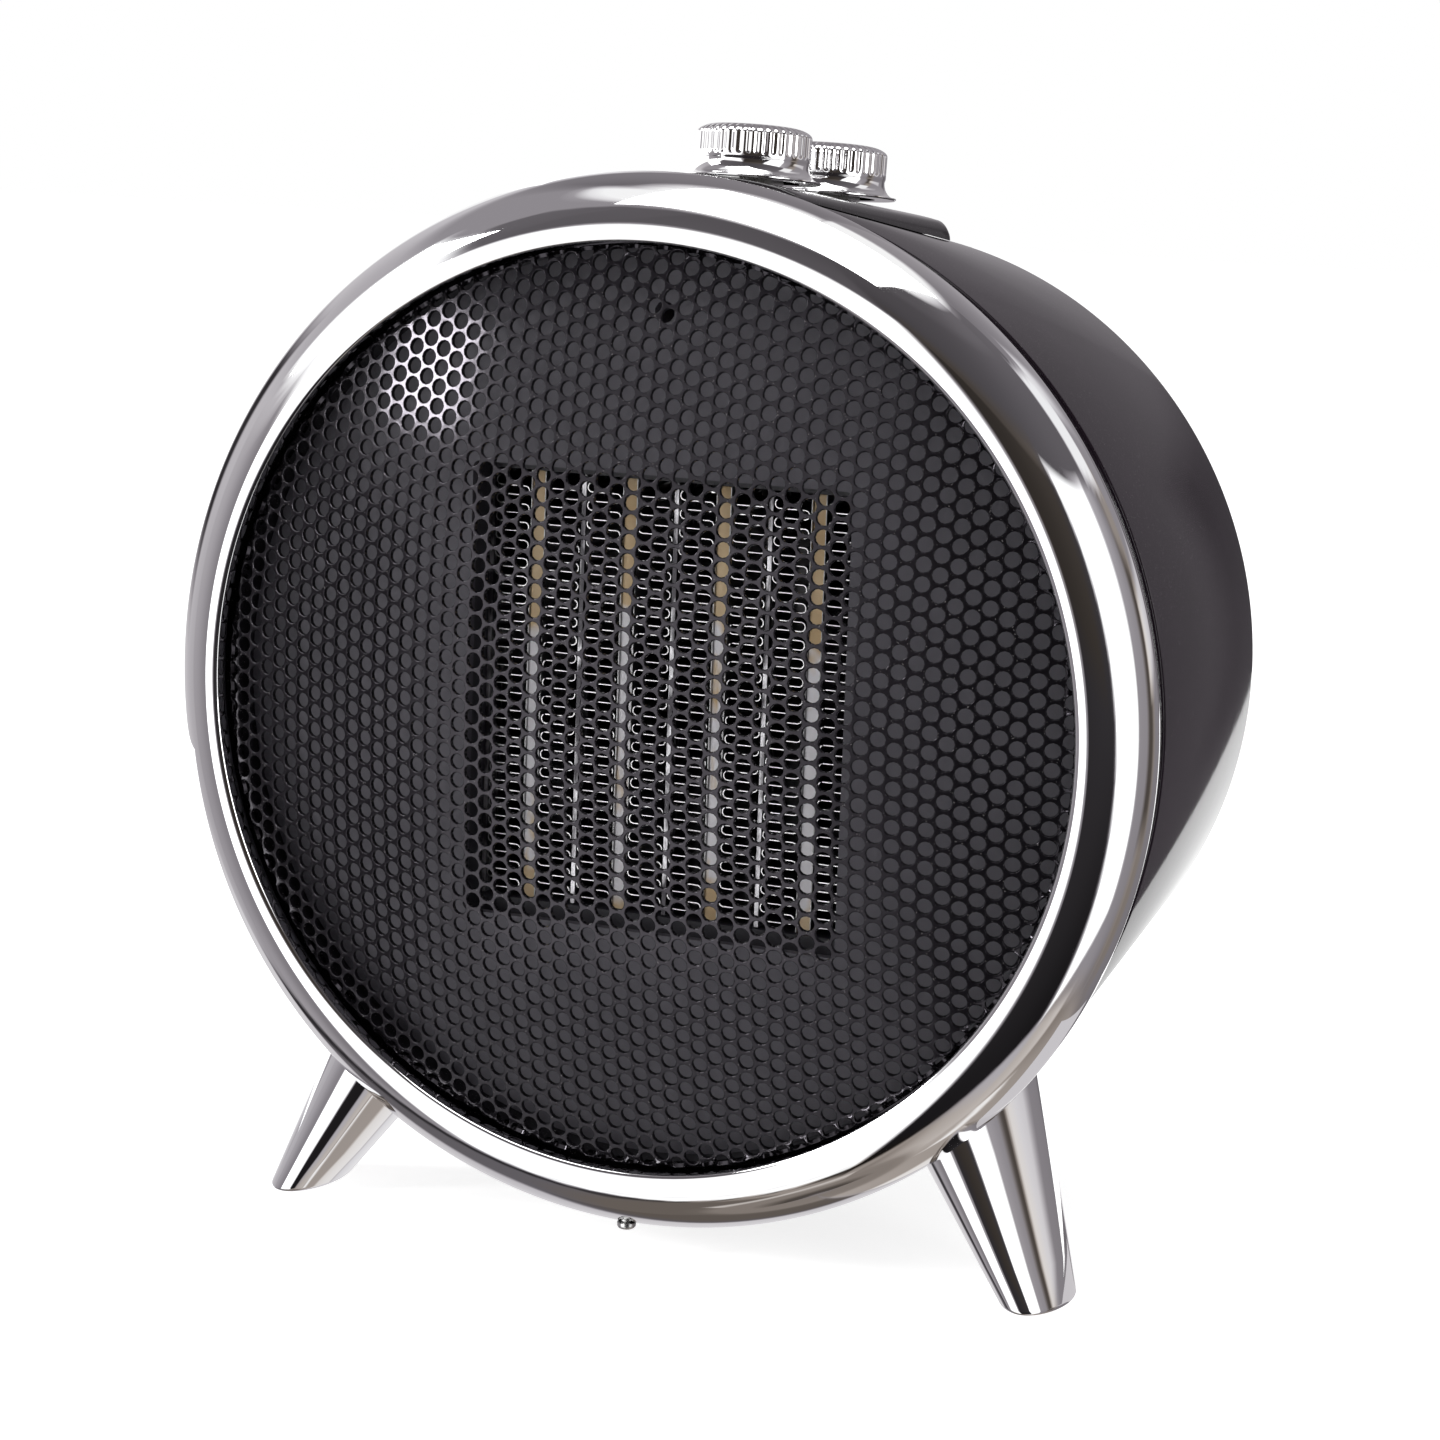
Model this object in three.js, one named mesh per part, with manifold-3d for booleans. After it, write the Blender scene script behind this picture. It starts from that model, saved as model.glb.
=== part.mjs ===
// A round ceramic fan heater on three legs, in millimetres, +Z up.
// Its pieces are drawn about the drum's axis: Y runs from the front to the back, and the front
// ring is widest at y = 0. The last lines stand the heater on its feet.

import * as THREE from "three";
import { mergeVertices } from "three/addons/utils/BufferGeometryUtils.js";
import Module from "manifold-3d";

const wasm = await Module();
wasm.setup();

// Clearances and cutters
const fit = 0.3;
const runningGap = 0.6;
const overrun = 2;

// Roundness of turned pieces, in sides and steps
const aroundCount = 36;
const midAroundCount = 20;
const smallAroundCount = 10;
const screwSides = 8;
const cornerSteps = 3;

// Front ring
const ringRadius = 120;
const ringBulge = 12.5;
const ringLipWidth = 2.6;
const ringCrestDepth = 12.5;
const ringLipDrop = 1.1;
const ringLipLength = 2.5;
const ringSkirtLength = 10;
const ringSkirtDraft = 2.4;
const ringWall = 1.8;
const ringRoundPower = 1.25;
const ringOuterSteps = 5;
const ringInnerSteps = 2;

// Grille: a domed sheet with a rim turned back to the front plate.
// Its holes are as wide as the real ones, and three times as far apart.
const grilleGap = 1.7;
const grilleDomeRadius = 350;
const grilleEdgeY = -8.5;
const grilleSheet = 1;
const grilleHolePitch = 12.75;
const grilleHoleRadius = 2.02;
const grilleHoleSides = 6;
const grilleMargin = 1.5;
const domeSteps = 3;
const grilleFlangeWidth = 6;

// Front plate
const plateFrontY = 2;
const plateThickness = 2.5;
const plateRimWall = 2.5;
const plateRimEndY = 20;
const outletHalfWidth = 46.65;
const outletHalfHeight = 52.4;
const outletCorner = 1.5;
const plateScrewInset = 14.2;
const plateScrewCount = 1;
const plateSocketRadius = 4.5;
const plateSocketDepth = 9.5;
const plateSocketFloor = 2;
const ringLugWidth = 8;
const ringLugHeight = 4;
const ringLugReach = 8;
const ringLugInset = 3.2;
const ringScrewY = -2.7;
const ringScrewLength = 9;

// Screws
const screwRadius = 1.4;
const screwHeadRadius = 2.2;
const screwHeadHeight = 1.5;
const screwLength = 16;
const shortScrewLength = 6;

// Heating element
const elementFrontY = 12;
const elementDepth = 16;
const halfCell = 11.6;
const elementHalfHeight = 50;
const stripCount = 4;
const stripWidth = 3.8;
const elementPlateWidth = 1;
const finCount = 13;
const finSheet = 1.1;
const insulatorHeight = 5.6;
const insulatorOverhang = 1;
const tabSheet = 0.8;
const tabDepth = 6;
const tabRise = 9;

// Air duct
const ductWall = 1.6;
const ductRearY = 34;
const ductFlangeWidth = 8.4;
const ductFlangeThickness = 2;
const ductFlangeY = 9.3;
const ductBossRadius = 3.4;

// Fan shroud, bracket, motor and fan
const shroudPlateThickness = 2;
const shroudBoreInset = 0.7;
const shroudCollarWall = 2.2;
const shroudCollarEndY = 56;
const shroudEarRadius = 3.6;
const shroudEarOffset = 5;
const bracketThickness = 2;
const bracketArmWidth = 7;
const bracketArmCount = 3;
const bracketHubRadius = 15;
const motorRadius = 19;
const motorLength = 32;
const motorNoseRadius = 6;
const motorCapRadius = 9;
const motorCapLength = 4;
const motorScrewCircle = 11;
const shaftRadius = 2.5;
const shaftFrontY = 39;
const shaftTail = 2.5;
const fanTipGap = 2;
const fanHubRadius = 12;
const fanFrontY = 41;
const fanHubLength = 13;
const fanHubWall = 2;
const fanBladeCount = 7;
const fanBladeChord = 18;
const fanBladeSheet = 1.6;
const fanRootPitch = THREE.MathUtils.degToRad(48);
const fanTipPitch = THREE.MathUtils.degToRad(30);
const fanBladeSteps = 3;

// Thermal cut-out on the duct
const cutoutRadius = 8;
const cutoutHeight = 5.5;
const cutoutFlangeRadius = 10;
const cutoutFlangeThickness = 1.2;

// Drum body
const grooveWidth = 2.5;
const drumTaper = 14.6;
const drumRearY = 136;
const drumEdgeRound = 8;
const drumWall = 2;
const drumPostRadius = 4.5;
const drumPostLength = 16.5;
const drumRibWidth = 3;

// Rear cover
const coverInset = 33;
const coverThickness = 2;
const coverLedge = 8;
const coverScrewInset = 4;
const coverScrewCount = 4;
const coverBossRadius = 3.4;
const coverBossLength = 9;
const slotHeight = 3.6;
const slotPitch = 8;
const slotWeb = 5;
const slotRimInset = 12;

// Cord gland and terminal block
const glandRadius = 6;
const glandFlangeRadius = 8;
const glandFlangeThickness = 2;
const glandBoreRadius = 3.6;
const glandLength = 12;
const terminalWidth = 24;
const terminalDepth = 12;
const terminalHeight = 9;
const terminalInset = 26;

// Control pad
const padHalfWidth = 26;
const padRearInset = 18;
const padFrontRise = 1.8;
const padRearRise = 4.4;
const padCorner = 8;

// Knobs and what they turn
const knobPlaces = [48, 96];
const knobHeight = 13.6;
const knobRadius = 13.35;
const knobSkirtRadius = 16.2;
const knobSkirtLip = 0.7;
const knobNeckHeight = 3.6;
const knobNeckRadius = 13;
const knobSides = 24;
const knobFluteCount = 24;
const knobFluteDepth = 0.8;
const knobShoulderWidth = 5;
const knobShoulderHeight = 2.2;
const knobShoulderSteps = 3;
const knobDish = 0.6;
const knobWall = 2;
const knobRoof = 3;
const knobHubRadius = 5.2;
const knobMarkWidth = 1.4;
const knobMarkLength = 5.5;
const knobMarkDepth = 0.6;
const knobLift = 1;
const spindleRadius = 3;
const spindleGrip = 6.5;
const spindleTail = 6;
const bushRadius = 5;
const bushRise = 3.6;
const nutRadius = 7.5;
const nutHeight = 2.2;
const nutSides = 6;
const controlHalfWidth = 12;
const controlHalfLength = 14;
const controlHeight = 14;

// Legs: an oval section at the foot grows and moves inwards up to the drum
const floorGap = 8;
const legTopInset = 60;
const footHalfLong = 14.3;
const footHalfShort = 7.6;
const frontFootInset = 26.1;
const frontFootY = 16.8;
const frontLegTopInset = 63.4;
const frontLegTopY = 34.2;
const frontLegTopHalfWidth = 21.5;
const frontLegTopHalfDepth = 31.2;
const rearFootInset = 33;
const rearLegTopInset = 36;
const rearLegTopHalfWidth = 20;
const rearLegTopHalfDepth = 14;
const legCount = 24;
const legScrewLength = 10;
const legScrewRise = 38;
const frontLegScrewY = 32;

// Values that follow from those above
const ringCrestRadius = ringRadius - ringBulge;
const ringMouthRadius = ringCrestRadius - ringLipWidth;
const grilleRadius = ringMouthRadius - grilleGap;
const plateScrewCircle = grilleRadius - plateScrewInset;
const drumFrontRadius = ringRadius - ringSkirtDraft;
const drumRearRadius = drumFrontRadius - drumTaper;
const drumFrontY = ringSkirtLength + grooveWidth;
const drumConeEndY = drumRearY - drumEdgeRound;
const drumSlope = (drumFrontRadius - drumRearRadius) / (drumConeEndY - drumFrontY);
const plateBackY = plateFrontY + plateThickness;
const ringInnerAtPlate = ringRadius - ringWall - ringSkirtDraft * plateBackY / ringSkirtLength;
const plateRadius = ringInnerAtPlate - fit;
const plateRimRadius = drumFrontRadius - (plateRimEndY - drumFrontY) * drumSlope - drumWall - fit;
const grilleFlangeY = plateFrontY - fit - grilleSheet;
const elementEdge = stripCount * halfCell;
const ductHalfWidth = elementEdge + elementPlateWidth / 2 + fit;
const ductHalfHeight = elementHalfHeight + fit + insulatorHeight + fit;
const ductOuterHalfWidth = ductHalfWidth + ductWall;
const ductOuterHalfHeight = ductHalfHeight + ductWall;
const ductScrewX = ductOuterHalfWidth + ductFlangeWidth / 2;
const ductScrewZ = ductOuterHalfHeight - ductFlangeWidth / 2;
const shroudPlateY = ductRearY + fit;
const shroudEarReach = shroudEarOffset + shroudEarRadius;
const shroudBoreRadius = Math.min(
  ductHalfWidth - shroudBoreInset,
  ductOuterHalfHeight - shroudEarReach,
);
const fanTipRadius = shroudBoreRadius - fanTipGap;
const shroudOuterRadius = shroudBoreRadius + shroudCollarWall;
const shroudEarCircle = shroudBoreRadius + shroudEarOffset;
const bracketY = shroudCollarEndY + fit;
const motorFrontY = bracketY + bracketThickness + fit;
const motorRearY = motorFrontY + motorLength;
const shaftRearY = motorRearY + motorCapLength + shaftTail;
const coverSeatY = drumRearY - coverThickness - fit;
const coverRadius = drumRearRadius - coverInset;
const coverScrewCircle = coverRadius - coverScrewInset;
const glandCircle = (coverRadius + drumRearRadius - drumEdgeRound) / 2;
const terminalFrontY = drumRearY - terminalInset;
const padRearY = drumRearY - padRearInset;
const domeCrestY = grilleEdgeY - domeRise(0);
const padFall = padTopRadius(drumFrontY) - padTopRadius(padRearY);
const controlTilt = Math.atan(padFall / (padRearY - drumFrontY));
const bushBoreRadius = spindleRadius + fit;
const footDrop = ringRadius + floorGap;
const legTopDrop = ringRadius - legTopInset;
const legScrewDrop = footDrop - legScrewRise;
const frontFoot = {
  x: ringRadius - frontFootInset,
  y: frontFootY,
  halfX: footHalfShort,
  halfY: footHalfLong,
};
const frontLegTop = {
  x: ringRadius - frontLegTopInset,
  y: frontLegTopY,
  halfX: frontLegTopHalfWidth,
  halfY: frontLegTopHalfDepth,
};
const rearFoot = {
  x: 0,
  y: drumRearY - rearFootInset,
  halfX: footHalfLong,
  halfY: footHalfShort,
};
const rearLegTop = {
  x: 0,
  y: drumRearY - rearLegTopInset,
  halfX: rearLegTopHalfWidth,
  halfY: rearLegTopHalfDepth,
};
const rearLegScrewY = (rearFoot.y + rearLegTop.y) / 2;

// Materials
function finish(color, roughness, metalness) {
  return new THREE.MeshStandardMaterial({ color, roughness, metalness });
}
const chrome = () => finish(0xd8dade, 0.08, 1);
const glossBlack = () => finish(0x0a0a0b, 0.12, 0);
const darkPlastic = () => finish(0x2a2b2e, 0.45, 0);
const aluminium = () => finish(0xb4b6b8, 0.4, 1);
const ceramic = () => finish(0xb59a78, 0.8, 0);
const steel = () => finish(0x9a9c9f, 0.35, 1);
const brownPlastic = () => finish(0x4a3424, 0.5, 0);
const palePlastic = () => finish(0xcfcabd, 0.5, 0);

// Radii of the drum and the pad at a depth

function drumOuterRadius(y) {
  return drumFrontRadius - (y - drumFrontY) * drumSlope;
}

function drumInnerRadius(y) {
  return drumOuterRadius(y) - drumWall;
}

// The least distance from the axis to the inside wall, at the middles of its flats.
function drumInnerFlat(y) {
  return drumInnerRadius(y) * Math.cos(Math.PI / aroundCount);
}

function padTopRadius(y) {
  const share = (y - drumFrontY) / (padRearY - drumFrontY);
  return drumOuterRadius(y) + padFrontRise + (padRearRise - padFrontRise) * share;
}

function domeRise(radius) {
  const centreDrop = Math.sqrt(grilleDomeRadius ** 2 - grilleRadius ** 2);
  return Math.sqrt(grilleDomeRadius ** 2 - radius ** 2) - centreDrop;
}

// Solids

function signedVolume(corners, triangles) {
  const point = (index) => new THREE.Vector3().fromArray(corners, index * 3);
  let volume = 0;
  for (let i = 0; i < triangles.length; i += 3) {
    const [a, b, c] = [point(triangles[i]), point(triangles[i + 1]), point(triangles[i + 2])];
    volume += a.dot(b.cross(c)) / 6;
  }
  return volume;
}

function solidFrom(geometry) {
  const bare = geometry.clone();
  bare.deleteAttribute("normal");
  bare.deleteAttribute("uv");
  const welded = mergeVertices(bare);
  const corners = welded.attributes.position.array;
  const triangles = [];
  for (let i = 0; i < welded.index.count; i += 3) {
    const [a, b, c] = [0, 1, 2].map((step) => welded.index.getX(i + step));
    if (a !== b && b !== c && c !== a) triangles.push(a, b, c);
  }
  if (signedVolume(corners, triangles) < 0) triangles.reverse();
  const vertProperties = new Float32Array(corners);
  const triVerts = new Uint32Array(triangles);
  return new wasm.Manifold(new wasm.Mesh({ numProp: 3, vertProperties, triVerts }));
}

function joined(solids) {
  return solids.reduce((whole, solid) => whole.add(solid));
}

function cut(solid, cutters) {
  return cutters.reduce((rest, cutter) => rest.subtract(cutter), solid);
}

// A solid turned about the drum's axis, from an outline of [radius, y] points.
function turned(outline, count = aroundCount) {
  const points = outline.map(([radius, y]) => new THREE.Vector2(radius, y));
  const startsOnAxis = outline[0][0] === 0 && outline[outline.length - 1][0] === 0;
  if (!startsOnAxis) points.push(points[0].clone());
  return solidFrom(new THREE.LatheGeometry(points, count));
}

// A turned solid that is then set in a frame of its own, its outline's y along the frame's Y.
function turnedIn(frame, outline, count) {
  const points = outline.map(([radius, height]) => new THREE.Vector2(radius, height));
  const startsOnAxis = outline[0][0] === 0 && outline[outline.length - 1][0] === 0;
  if (!startsOnAxis) points.push(points[0].clone());
  return solidFrom(new THREE.LatheGeometry(points, count).applyMatrix4(frame));
}

// A flat outline in X and Z, given a thickness from yFront back to yBack.
function slab(shape, yFront, yBack) {
  const depth = yBack - yFront;
  const settings = { depth, bevelEnabled: false, curveSegments: cornerSteps };
  const geometry = new THREE.ExtrudeGeometry(shape, settings);
  geometry.rotateX(Math.PI / 2);
  geometry.translate(0, yBack, 0);
  return solidFrom(geometry);
}

// A flat outline in X and Y, given a height from zLow to zHigh.
function prism(shape, zLow, zHigh) {
  const depth = zHigh - zLow;
  const settings = { depth, bevelEnabled: false, curveSegments: cornerSteps };
  const geometry = new THREE.ExtrudeGeometry(shape, settings);
  geometry.translate(0, 0, zLow);
  return solidFrom(geometry);
}

function block(xRange, yRange, zRange) {
  const sizes = [xRange, yRange, zRange].map(([low, high]) => high - low);
  const middles = [xRange, yRange, zRange].map(([low, high]) => (low + high) / 2);
  return solidFrom(new THREE.BoxGeometry(...sizes).translate(...middles));
}

// A round bar between two points.
function rod(radius, from, to, count = smallAroundCount) {
  const start = new THREE.Vector3(...from);
  const along = new THREE.Vector3(...to).sub(start);
  const length = along.length();
  const geometry = new THREE.CylinderGeometry(radius, radius, length, count);
  geometry.translate(0, length / 2, 0);
  const upright = new THREE.Vector3(0, 1, 0);
  geometry.applyQuaternion(new THREE.Quaternion().setFromUnitVectors(upright, along.normalize()));
  return solidFrom(geometry.translate(start.x, start.y, start.z));
}

function roundShape(radius, count = aroundCount) {
  const points = [];
  for (let step = 0; step < count; step++) {
    const turn = 2 * Math.PI * step / count;
    points.push(new THREE.Vector2(radius * Math.cos(turn), radius * Math.sin(turn)));
  }
  return new THREE.Shape(points);
}

function roundedRectangle(halfWidth, halfHeight, corner) {
  const shape = new THREE.Shape();
  const corners = [[1, 1], [-1, 1], [-1, -1], [1, -1]];
  corners.forEach(([sideX, sideY], index) => {
    const centreX = sideX * (halfWidth - corner);
    const centreY = sideY * (halfHeight - corner);
    const start = index * Math.PI / 2;
    shape.absarc(centreX, centreY, corner, start, start + Math.PI / 2, false);
  });
  shape.closePath();
  return shape;
}

// Places at equal turns round the drum's axis, the first at the top.
function aroundAxis(radius, count, startTurn = 0) {
  return Array.from({ length: count }, (_, index) => {
    const turn = startTurn + 2 * Math.PI * index / count;
    return [radius * Math.sin(turn), radius * Math.cos(turn)];
  });
}

// A screw with its head's underside at a point, its shank running along a direction.
function screw(seat, direction, length) {
  const start = new THREE.Vector3(...seat);
  const along = new THREE.Vector3(...direction).normalize();
  const headTop = start.clone().addScaledVector(along, -screwHeadHeight);
  const tip = start.clone().addScaledVector(along, length);
  const head = rod(screwHeadRadius, headTop.toArray(), start.toArray(), screwSides);
  return head.add(rod(screwRadius, headTop.toArray(), tip.toArray(), screwSides));
}

function screwHole(from, to) {
  return rod(screwRadius + fit, from, to, screwSides);
}

// Rods along Y at a list of [x, z] places.
function rodsAt(places, radius, fromY, toY) {
  return places.map(([x, z]) => rod(radius, [x, fromY, z], [x, toY, z]));
}

function screwHolesAt(places, fromY, toY) {
  return places.map(([x, z]) => screwHole([x, fromY, z], [x, toY, z]));
}

// A plain cylinder in a frame of its own, from one height to another along the frame's Y.
function cylinderIn(frame, radius, low, high, count = smallAroundCount) {
  return turnedIn(frame, [[0, low], [radius, low], [radius, high], [0, high]], count);
}

// Front ring

// Its section from the crest to the widest circle is flatter than a quarter round.
function ringArc(halfWidth, depth, steps, fromCrest) {
  const points = [];
  for (let step = 0; step <= steps; step++) {
    const turn = (Math.PI / 2) * (fromCrest ? steps - step : step) / steps;
    const across = Math.cos(turn) ** ringRoundPower;
    const along = Math.sin(turn) ** ringRoundPower;
    points.push([ringCrestRadius + halfWidth * across, -depth * along]);
  }
  return points;
}

function makeFrontRing() {
  const rise = ringRadius - ringCrestRadius;
  const rearRadius = ringRadius - ringSkirtDraft;
  const lipY = ringLipDrop - ringCrestDepth;
  const outline = [
    [rearRadius, ringSkirtLength],
    ...ringArc(rise, ringCrestDepth, ringOuterSteps, false),
    [ringMouthRadius, lipY],
    [ringMouthRadius, lipY + ringLipLength],
    [ringMouthRadius + ringWall / 2, lipY + ringLipLength],
    ...ringArc(rise - ringWall, ringCrestDepth - ringWall, ringInnerSteps, true),
    [rearRadius - ringWall, ringSkirtLength],
  ];
  const seat = ringRadius - ringWall / 2;
  const holeEnd = [0, ringScrewY, overrun - ringInnerAtPlate];
  const hole = screwHole([0, ringScrewY, -ringRadius - overrun], holeEnd);
  const headSeat = [0, ringScrewY, -seat];
  const headRoom = rod(screwHeadRadius + fit, headSeat, [0, ringScrewY, -seat - ringWall]);
  return cut(turned(outline), [hole, headRoom]);
}

function makeRingScrew() {
  const seat = ringRadius - ringWall / 2 + fit;
  return screw([0, ringScrewY, -seat], [0, 0, 1], ringScrewLength);
}

// Grille

function grilleHolePlaces() {
  const columnPitch = grilleHolePitch * Math.sqrt(3) / 2;
  const reach = grilleRadius - grilleSheet - grilleMargin - grilleHoleRadius;
  const columnCount = Math.ceil(reach / columnPitch);
  const rowCount = Math.ceil(reach / grilleHolePitch) + 1;
  const places = [];
  for (let column = -columnCount; column <= columnCount; column++) {
    const stagger = column % 2 === 0 ? 0 : grilleHolePitch / 2;
    for (let row = -rowCount; row <= rowCount; row++) {
      const x = column * columnPitch;
      const z = row * grilleHolePitch + stagger;
      if (Math.hypot(x, z) <= reach) places.push([x, z]);
    }
  }
  return places;
}

function makeGrille() {
  const front = [];
  for (let step = 0; step <= domeSteps; step++) {
    const radius = grilleRadius * step / domeSteps;
    front.push([radius, grilleEdgeY - domeRise(radius)]);
  }
  const back = front.map(([radius, y]) => [radius, y + grilleSheet]).reverse();
  const rim = turned([
    [grilleRadius - grilleSheet, grilleEdgeY],
    [grilleRadius, grilleEdgeY],
    [grilleRadius, grilleFlangeY],
    [grilleRadius + grilleFlangeWidth, grilleFlangeY],
    [grilleRadius + grilleFlangeWidth, grilleFlangeY + grilleSheet],
    [grilleRadius - grilleSheet, grilleFlangeY + grilleSheet],
  ]);
  const [holeStartY, holeEndY] = [domeCrestY - overrun, grilleEdgeY + grilleSheet + overrun];
  const holes = grilleHolePlaces().map(([x, z]) => {
    return rod(grilleHoleRadius, [x, holeStartY, z], [x, holeEndY, z], grilleHoleSides);
  });
  return cut(turned([...front, ...back]), holes).add(rim);
}

// Front plate

function plateScrewPlaces() {
  return aroundAxis(plateScrewCircle, plateScrewCount);
}

function ductScrewPlaces() {
  const sides = [[1, 1], [-1, 1], [-1, -1], [1, -1]];
  return sides.map(([sideX, sideZ]) => [sideX * ductScrewX, sideZ * ductScrewZ]);
}

function makeFrontPlate() {
  const outline = roundShape(plateRadius);
  outline.holes.push(roundedRectangle(outletHalfWidth, outletHalfHeight, outletCorner));
  const rim = turned([
    [plateRimRadius, plateBackY - plateThickness / 2],
    [plateRimRadius, plateRimEndY],
    [plateRimRadius - plateRimWall, plateRimEndY],
    [plateRimRadius - plateRimWall, plateBackY - plateThickness / 2],
  ]);
  const lugFloor = ringLugInset - plateRadius;
  const lugRoof = lugFloor + ringLugHeight;
  const lug = block(
    [-ringLugWidth / 2, ringLugWidth / 2],
    [plateFrontY - ringLugReach, plateBackY],
    [lugFloor, lugRoof],
  );
  const places = plateScrewPlaces();
  const rootY = plateFrontY + fit;
  const socketEndY = plateBackY + plateSocketDepth;
  const sockets = rodsAt(places, plateSocketRadius, rootY, socketEndY);
  const bosses = rodsAt(ductScrewPlaces(), ductBossRadius, rootY, ductFlangeY - fit);
  const body = joined([slab(outline, plateFrontY, plateBackY), rim, lug, ...sockets, ...bosses]);
  const floorY = socketEndY - plateSocketFloor;
  const headHoles = rodsAt(places, screwHeadRadius + fit, plateFrontY - overrun, floorY);
  const shankHoles = screwHolesAt(places, plateBackY, socketEndY + overrun);
  const bossHoles = screwHolesAt(ductScrewPlaces(), plateBackY, ductFlangeY + overrun);
  const lugHole = screwHole([0, ringScrewY, lugFloor - overrun], [0, ringScrewY, lugRoof + overrun]);
  return cut(body, [...headHoles, ...shankHoles, ...bossHoles, lugHole]);
}

function makePlateScrew([x, z]) {
  const seatY = plateBackY + plateSocketDepth - plateSocketFloor - fit;
  return screw([x, seatY, z], [0, 1, 0], screwLength);
}

// Heating element

const elementYRange = [elementFrontY, elementFrontY + elementDepth];

function makeStrip(index) {
  const x = (2 * index + 1 - stripCount) * halfCell;
  return block(
    [x - stripWidth / 2, x + stripWidth / 2],
    elementYRange,
    [-elementHalfHeight, elementHalfHeight],
  );
}

function elementPlateX(index) {
  return (2 * index - stripCount) * halfCell;
}

function makeElementPlate(index) {
  const x = elementPlateX(index);
  return block(
    [x - elementPlateWidth / 2, x + elementPlateWidth / 2],
    elementYRange,
    [-elementHalfHeight, elementHalfHeight],
  );
}

// One column is a folded sheet: level fins joined at the left and the right by turns.
function makeFinColumn(index) {
  const besidePlate = elementPlateWidth / 2 + fit;
  const besideStrip = stripWidth / 2 + fit;
  const low = (index - stripCount) * halfCell;
  const plateIsLeft = index % 2 === 0;
  const left = low + (plateIsLeft ? besidePlate : besideStrip);
  const right = low + halfCell - (plateIsLeft ? besideStrip : besidePlate);
  const finPitch = (2 * elementHalfHeight - finSheet) / (finCount - 1);
  const points = [[left, -elementHalfHeight], [right, -elementHalfHeight]];
  const leftPoints = [];
  for (let gap = 0; gap < finCount - 1; gap++) {
    const gapLow = gap * finPitch + finSheet - elementHalfHeight;
    const gapHigh = (gap + 1) * finPitch - elementHalfHeight;
    const opensRight = gap % 2 === 0;
    const mouth = opensRight ? right : left;
    const turnX = opensRight ? left + finSheet : right - finSheet;
    const side = opensRight ? points : leftPoints;
    side.push([mouth, gapLow], [turnX, gapLow], [turnX, gapHigh], [mouth, gapHigh]);
  }
  points.push([right, elementHalfHeight], [left, elementHalfHeight], ...leftPoints.reverse());
  const shape = new THREE.Shape(points.map(([x, z]) => new THREE.Vector2(x, z)));
  return slab(shape, ...elementYRange);
}

function tabX(side) {
  return side * 2 * halfCell;
}

function tabYRange() {
  const middle = elementFrontY + elementDepth / 2;
  return [middle - tabDepth / 2, middle + tabDepth / 2];
}

function tabBlock(side, grow) {
  const [yLow, yHigh] = tabYRange();
  return block(
    [tabX(side) - tabSheet / 2 - grow, tabX(side) + tabSheet / 2 + grow],
    [yLow - grow, yHigh + grow],
    [elementHalfHeight + fit - grow, ductOuterHalfHeight + tabRise],
  );
}

function makeInsulator(side) {
  const near = elementHalfHeight + fit;
  const far = near + insulatorHeight;
  const bar = block(
    [fit - ductHalfWidth, ductHalfWidth - fit],
    [elementFrontY - insulatorOverhang, elementFrontY + elementDepth + insulatorOverhang],
    side > 0 ? [near, far] : [-far, -near],
  );
  return side > 0 ? cut(bar, [tabBlock(1, fit), tabBlock(-1, fit)]) : bar;
}

// Air duct

function makeDuct() {
  const tube = roundedRectangle(ductOuterHalfWidth, ductOuterHalfHeight, ductWall);
  const tubeFrontY = plateBackY + fit;
  const flange = roundedRectangle(ductOuterHalfWidth + ductFlangeWidth, ductOuterHalfHeight, ductWall);
  const bore = block(
    [-ductHalfWidth, ductHalfWidth],
    [tubeFrontY - overrun, ductRearY + overrun],
    [-ductHalfHeight, ductHalfHeight],
  );
  const body = joined([
    slab(tube, tubeFrontY, ductRearY),
    slab(flange, ductFlangeY, ductFlangeY + ductFlangeThickness),
    slab(flange, ductRearY - ductFlangeThickness, ductRearY),
  ]);
  const screwHoles = screwHolesAt(ductScrewPlaces(), plateBackY, ductRearY + overrun);
  return cut(body, [bore, ...screwHoles, tabBlock(1, fit), tabBlock(-1, fit)]);
}

function makeThermalCutout() {
  const base = ductOuterHalfHeight + fit;
  const middleY = elementFrontY + elementDepth / 2;
  const frame = new THREE.Matrix4().makeRotationX(Math.PI / 2).setPosition(0, middleY, base);
  return turnedIn(frame, [
    [0, 0],
    [cutoutFlangeRadius, 0],
    [cutoutFlangeRadius, cutoutFlangeThickness],
    [cutoutRadius, cutoutFlangeThickness],
    [cutoutRadius, cutoutHeight],
    [0, cutoutHeight],
  ], midAroundCount);
}

// Fan shroud

function shroudEarPlaces() {
  return aroundAxis(shroudEarCircle, bracketArmCount);
}

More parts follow.
